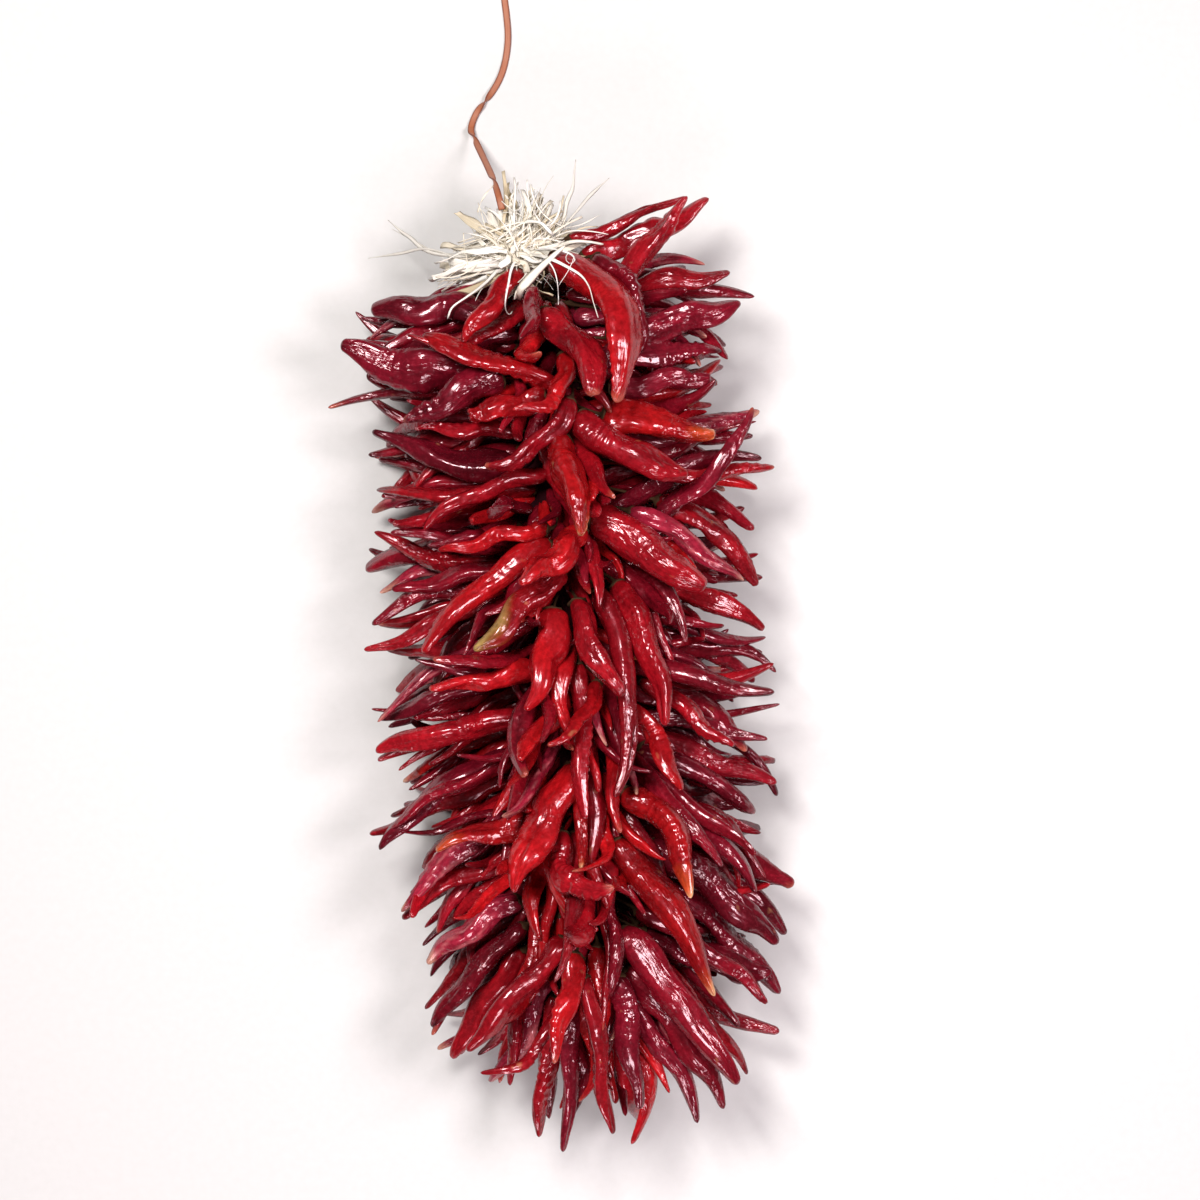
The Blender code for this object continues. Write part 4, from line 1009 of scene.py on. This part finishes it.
def level_ways(degrees):
    """For bearings in degrees: each in radians, the level way it points, and the level way square to that."""
    way = np.radians(degrees)
    ahead = np.stack([np.cos(way), np.sin(way), 0 * way], 1)
    return way, ahead, np.stack([-np.sin(way), np.cos(way), 0 * way], 1)


# The cut bunches. Each row: bearing and length from the knot in degrees and mm, the height of its end, the spread
# of the bearings, how deep the bunch is, and how many strips it has.
HUSK_BUNCHES = (
    (193, 62, 86, 6, 8.0, 64),
    (163, 48, 82, 8, 8.0, 46),
    (138, 40, 76, 9, 7.0, 24),
    (104, 46, 74, 7, 7.0, 26),
    (82, 48, 86, 9, 8.0, 48),
    (57, 45, 90, 11, 7.0, 32),
    (14, 50, 98, 11, 5.0, 26),
    (-22, 30, 122, 16, 3.0, 12),
    (-100, 24, 130, 30, 3.0, 16),
)
rng = np.random.default_rng(SEED + 21)
s = np.linspace(0, 1, STRIP_RINGS)[:, None]
share = s[:, 0]
laid = []
for bearing, reach, end_z, fan_spread, deep, number in HUSK_BUNCHES:
    each = (number, 1, 1)
    way, out, aside = level_ways(bearing + rng.normal(0, fan_spread, number))
    run = (reach + rng.normal(0, 0.05 * reach, number))[:, None, None] / 1000
    begin = HUSK_KNOT + rng.normal(0, 1, (number, 3)) * (0.009, 0.008, 0.004) - out * 0.004
    finish_z = (end_z + rng.normal(0, deep, number))[:, None] / 1000
    line = begin[:, None] + out[:, None] * run * s
    line += aside[:, None] * (rng.normal(0, 0.003, each) * np.sin(math.pi * s) + rng.normal(0, 0.005, each) * s**3)
    ripple = rng.normal(0, 0.0007, each)
    line += aside[:, None] * ripple * np.sin(rng.uniform(6, 18, each) * s + rng.uniform(0, 6, each))
    hump = rng.uniform(0.002, 0.010, (number, 1)) * np.sin(math.pi * share) ** 0.8
    line[..., 2] = begin[:, 2:] + (finish_z - begin[:, 2:]) * share + hump
    broad = BUNCH_WIDTHS[0] + BUNCH_WIDTHS[1] * rng.uniform(0, 1, (number, 1)) ** 1.7
    broad = broad * (0.55 + 0.45 * np.clip(share * 3, 0, 1))
    broad = broad * (1 + 0.25 * np.sin(rng.uniform(4, 15, (number, 1)) * share + rng.uniform(0, 6, (number, 1))))
    turning = rng.normal(0, 0.5, (number, 1)) + rng.normal(0, 0.9, (number, 1)) * share
    tint = tints(rng, ("#BFAB86", "#DCCFB4", "#EBE3D2", "#F6F3EB", "#EEE8DA", "#F8F6F0"), number)
    from_twine = np.hypot(line[..., 0] - TWINE_ROUTE[0, 0], line[..., 1] - TWINE_ROUTE[0, 1] - 0.006)
    off_twine = np.clip(from_twine / 0.012 - 0.6, 0, 1)
    line[..., 2] = np.minimum(line[..., 2], TWINE_ROUTE[0, 2] - 0.006 + 0.08 * off_twine)
    laid.append(strips(line, broad, rng.normal(0, 0.16, number), turning, tint))

# Narrow shreds in every direction over the bunches, most of them white; those that point down the string are
# shorter and end higher.
number = 80
way, out, aside = level_ways(rng.uniform(-160, 200, number))
run = rng.uniform(0.014, 0.046, (number, 1, 1)) * np.where(np.sin(way) < -0.2, 0.6, 1)[:, None, None]
line = HUSK_KNOT + rng.normal(0, 0.004, (number, 1, 3)) + out[:, None] * run * s
line += aside[:, None] * rng.normal(0, 0.010, (number, 1, 1)) * s**2
arch = rng.uniform(0.004, 0.013, (number, 1)) * np.sin(math.pi * share * 0.8)
line[..., 2] += arch - 0.010 * share**2 * np.where(np.sin(way) > -0.2, 1, -1)[:, None]
laid.append(strips(line, rng.uniform(0.0004, 0.0017, (number, 1)) * (1.1 - 0.4 * share), rng.normal(0, 0.2, number),
                   rng.normal(0, 2, (number, 1)) * share, tints(rng, ("#F8F4EC", "#F3ECDC", "#FBF9F4"), number)))

# Threads that lie crosswise over the bunches.
number = 40
way, out, aside = level_ways(rng.uniform(0, 360, number))
middle = HUSK_KNOT + rng.normal(0, 1, (number, 3)) * (0.020, 0.014, 0.003) + (-0.006, 0.014, 0.006)
line = middle[:, None] + out[:, None] * rng.uniform(0.010, 0.024, (number, 1, 1)) * (2 * s - 1)
line += aside[:, None] * rng.normal(0, 0.006, (number, 1, 1)) * (2 * s - 1) ** 2
line[..., 2] -= rng.uniform(0.002, 0.012, (number, 1)) * (2 * share - 1) ** 2
laid.append(strips(line, rng.uniform(0.0005, 0.0022, (number, 1)) + 0 * share, rng.normal(0, 0.2, number),
                   rng.normal(0, 2, (number, 1)) * share, tints(rng, ("#F3EEE2", "#E6DDC8", "#F8F5EE"), number)))


def one_strip(line, broad, taper, cup, turn, name):
    """A single strip along a route, its width in mm times a taper at each point, in a named sRGB colour."""
    return strips(line[None], broad / 1000 * taper, [cup], turn[None], np.array([linear(name)[:3]]))


# The long ones: the route in mm over the pods (the height is found from the pods beneath), width in mm, and tint.
# They are drawn tight over the pods: each height is raised to the mean of its neighbours, again and again for a
# broad ribbon.
LONG_STRIPS = (
    (((-44, 305), (-56, 296), (-68, 284), (-82, 272), (-94, 263), (-98, 254)), 3.6, "#F7F3EA"),
    (((-42, 304), (-47, 292), (-49, 280), (-51, 270), (-52, 261), (-49, 257), (-47, 260)), 2.6, "#FAF7F1"),
    (((-5, 308), (-13, 301), (-24, 291), (-34, 281), (-43, 272)), 8.0, "#EFE8D8"),
    (((-9, 305), (-19, 296), (-30, 286), (-37, 278)), 2.2, "#FAF7F1"),
    (((-36, 306), (-24, 302), (-15, 292), (-11, 280), (-10, 262)), 1.6, "#FAF7F1"),
    (((-34, 306), (-16, 298), (-2, 290), (8, 283), (14, 274), (17, 263), (21, 250)), 2.6, "#F4F0E6"),
    (((-30, 309), (-14, 306), (-2, 302), (3, 297), (0, 293), (-4, 296), (-3, 301), (2, 299), (-2, 288), (-10, 277)),
     1.5, "#FBF9F4"),
    (((-40, 310), (-22, 317), (-4, 323), (14, 323), (29, 321)), 2.2, "#F6F1E8"),
    (((-34, 308), (-16, 312), (2, 315), (14, 315), (25, 314)), 5.0, "#EFE9DC"),
    (((-38, 303), (-34, 296), (-36, 288), (-42, 281)), 3.2, "#F3EDE0"),
    (((-48, 304), (-58, 300), (-70, 297), (-80, 290)), 2.4, "#F7F2E8"),
    (((-46, 303), (-60, 291), (-71, 279), (-76, 268)), 1.4, "#FAF7F1"),
)
for route, broad, name in LONG_STRIPS:
    flat = np.array([(x, y, 0) for x, y in route]) / 1000
    line = smooth_route(flat, np.linalg.norm(np.diff(flat, axis=0), axis=1).sum() / 26)
    ground = pods_top(line[:, 0], line[:, 1], pods)
    share = np.linspace(0, 1, len(line))
    high = np.maximum(ground + 0.0016, HUSK_KNOT[2] + 0.008 - 0.02 * share)
    for _ in range(80 if broad > RIBBON_MM else 6):
        high[1:-1] = np.maximum(high[1:-1], (high[:-2] + high[2:]) / 2)
    line[:, 2] = high + 0.0012 * np.sin(share * 9 + broad) + 0.0004 * broad
    if broad > RIBBON_MM:
        taper = np.clip(0.3 + share, 0, 1)
    else:
        taper = np.clip(1.25 - share, 0.5, 1) * np.where(share > 0.985, 0.6, 1)
    laid.append(one_strip(line, broad, taper, 0.22, 0.35 * np.sin(share * 6 + broad), name))

# The strays: long shreds that left the bunch; each is a route in mm with its own heights, a width and a tint.
STRAY_SHREDS = (
    (((-60, 306, 104), (-88, 303, 96), (-104, 310, 88), (-120, 314, 80), (-138, 312, 68), (-166, 310, 50)),
     2.5, "#D6D2C8"),
    (((-70, 304, 100), (-104, 308, 88), (-120, 314, 78), (-130, 324, 68), (-139, 331, 60), (-150, 341, 50)),
     3.3, "#DAD6CC"),
    (((-72, 305, 98), (-106, 310, 86), (-122, 318, 74), (-134, 326, 64), (-146, 333, 54)), 2.1, "#D6D2C8"),
    (((-20, 318, 104), (-8, 334, 100), (-4, 350, 94), (1, 362, 88), (2, 375, 82), (3, 386, 78)), 3.9, "#E2DED4"),
    (((-16, 318, 104), (2, 340, 98), (14, 355, 90), (30, 371, 80)), 3.0, "#DAD6CC"),
    (((-24, 322, 104), (-26, 345, 98), (-22, 360, 92), (-15, 372, 86)), 1.4, "#DAD6CC"),
    (((-60, 318, 100), (-66, 332, 94), (-70, 341, 90), (-74, 346, 86)), 1.5, "#EAE6DC"),
    (((-70, 300, 98), (-88, 300, 92), (-98, 302, 88), (-106, 308, 84)), 1.5, "#EAE6DC"),
    (((-30, 314, 106), (-12, 326, 102), (8, 332, 96), (22, 340, 90)), 1.8, "#EFEBE0"),
)
for route, broad, name in STRAY_SHREDS:
    line = smooth_route(np.array(route) / 1000, 0.004)
    share = np.linspace(0, 1, len(line))
    taper = np.clip((1.02 - share) * 4, 0.25, 1) * np.clip(0.5 + share * 3, 0, 1)
    laid.append(one_strip(line, broad, taper, 0.15, 0.8 * np.sin(share * 5 + broad), name))

verts, quads, tris, rgba, place = join_parts(laid)
husk_strips = mesh_piece("husk_strips", verts, quads, tris, husk_paper, "corn_husk",
                         husk_colour=rgba, husk_place=place)
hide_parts("husk_tie")

# Inside the strips is the knot itself, a wad of folded husk with three turns of a narrow strip drawn tight across it.
rings, sides = 28, 32
share = np.linspace(0.003, 0.997, rings)[:, None]
angle = 2 * math.pi * np.arange(sides) / sides
full = np.sin(math.pi * share) ** 0.55
pleats = 1 + 0.10 * np.sin(11 * angle + 5 * share) + 0.06 * np.sin(7 * angle - 9 * share)
middle = np.array((-0.066, 0.306, 0.096)) + share[..., None] * np.array((0.046, 0.002, 0.004))
oval = np.stack([0 * angle, 0.019 * np.cos(angle), 0.014 * np.sin(angle)], -1)
verts = lumpy_tube(middle, oval, full * pleats)
wad_place = np.stack([np.tile(angle * 0.016, rings), np.repeat(share[:, 0] * 0.05, sides),
                      np.zeros(rings * sides)], 1)
wad_place = np.concatenate([wad_place, wad_place[:1], wad_place[-1:]])
wad_tint = np.tile((*linear("#DDD0B6")[:3], 1.0), (len(verts), 1))
knot_wad = mesh_piece("husk_knot_wad", verts, *tube_faces(rings, sides), husk_paper, "corn_husk",
                      husk_colour=wad_tint, husk_place=wad_place)
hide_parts("husk_tie")

# The binding's three turns: how far each leans, its half-width and half-height, and its shift along the knot.
BINDING_TURNS = ((0.35, 0.016, 0.013, -0.004), (-0.30, 0.015, 0.014, 0.0), (0.05, 0.017, 0.012, 0.004))
turns = []
bend = np.linspace(0, 2 * math.pi, 40, endpoint=False)
for lean, wide, high, shift in BINDING_TURNS:
    slide = shift + 0.004 * np.sin(bend + lean * 9) + lean * wide * np.cos(bend)
    ring = np.stack([slide, wide * np.cos(bend), high * np.sin(bend)], 1)
    ring = HUSK_KNOT + (0.001, 0, -0.004) + ring
    ring = np.concatenate([ring, ring[:2]])
    turns.append(strips(ring[None], 0.0030, [0.15], math.pi / 2, np.array([linear("#F6F1E6")[:3]])))
verts, quads, tris, rgba, place = join_parts(turns)
husk_binding = mesh_piece("husk_binding", verts, quads, tris, husk_paper, "corn_husk",
                          husk_colour=rgba, husk_place=place)
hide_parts("husk_tie")
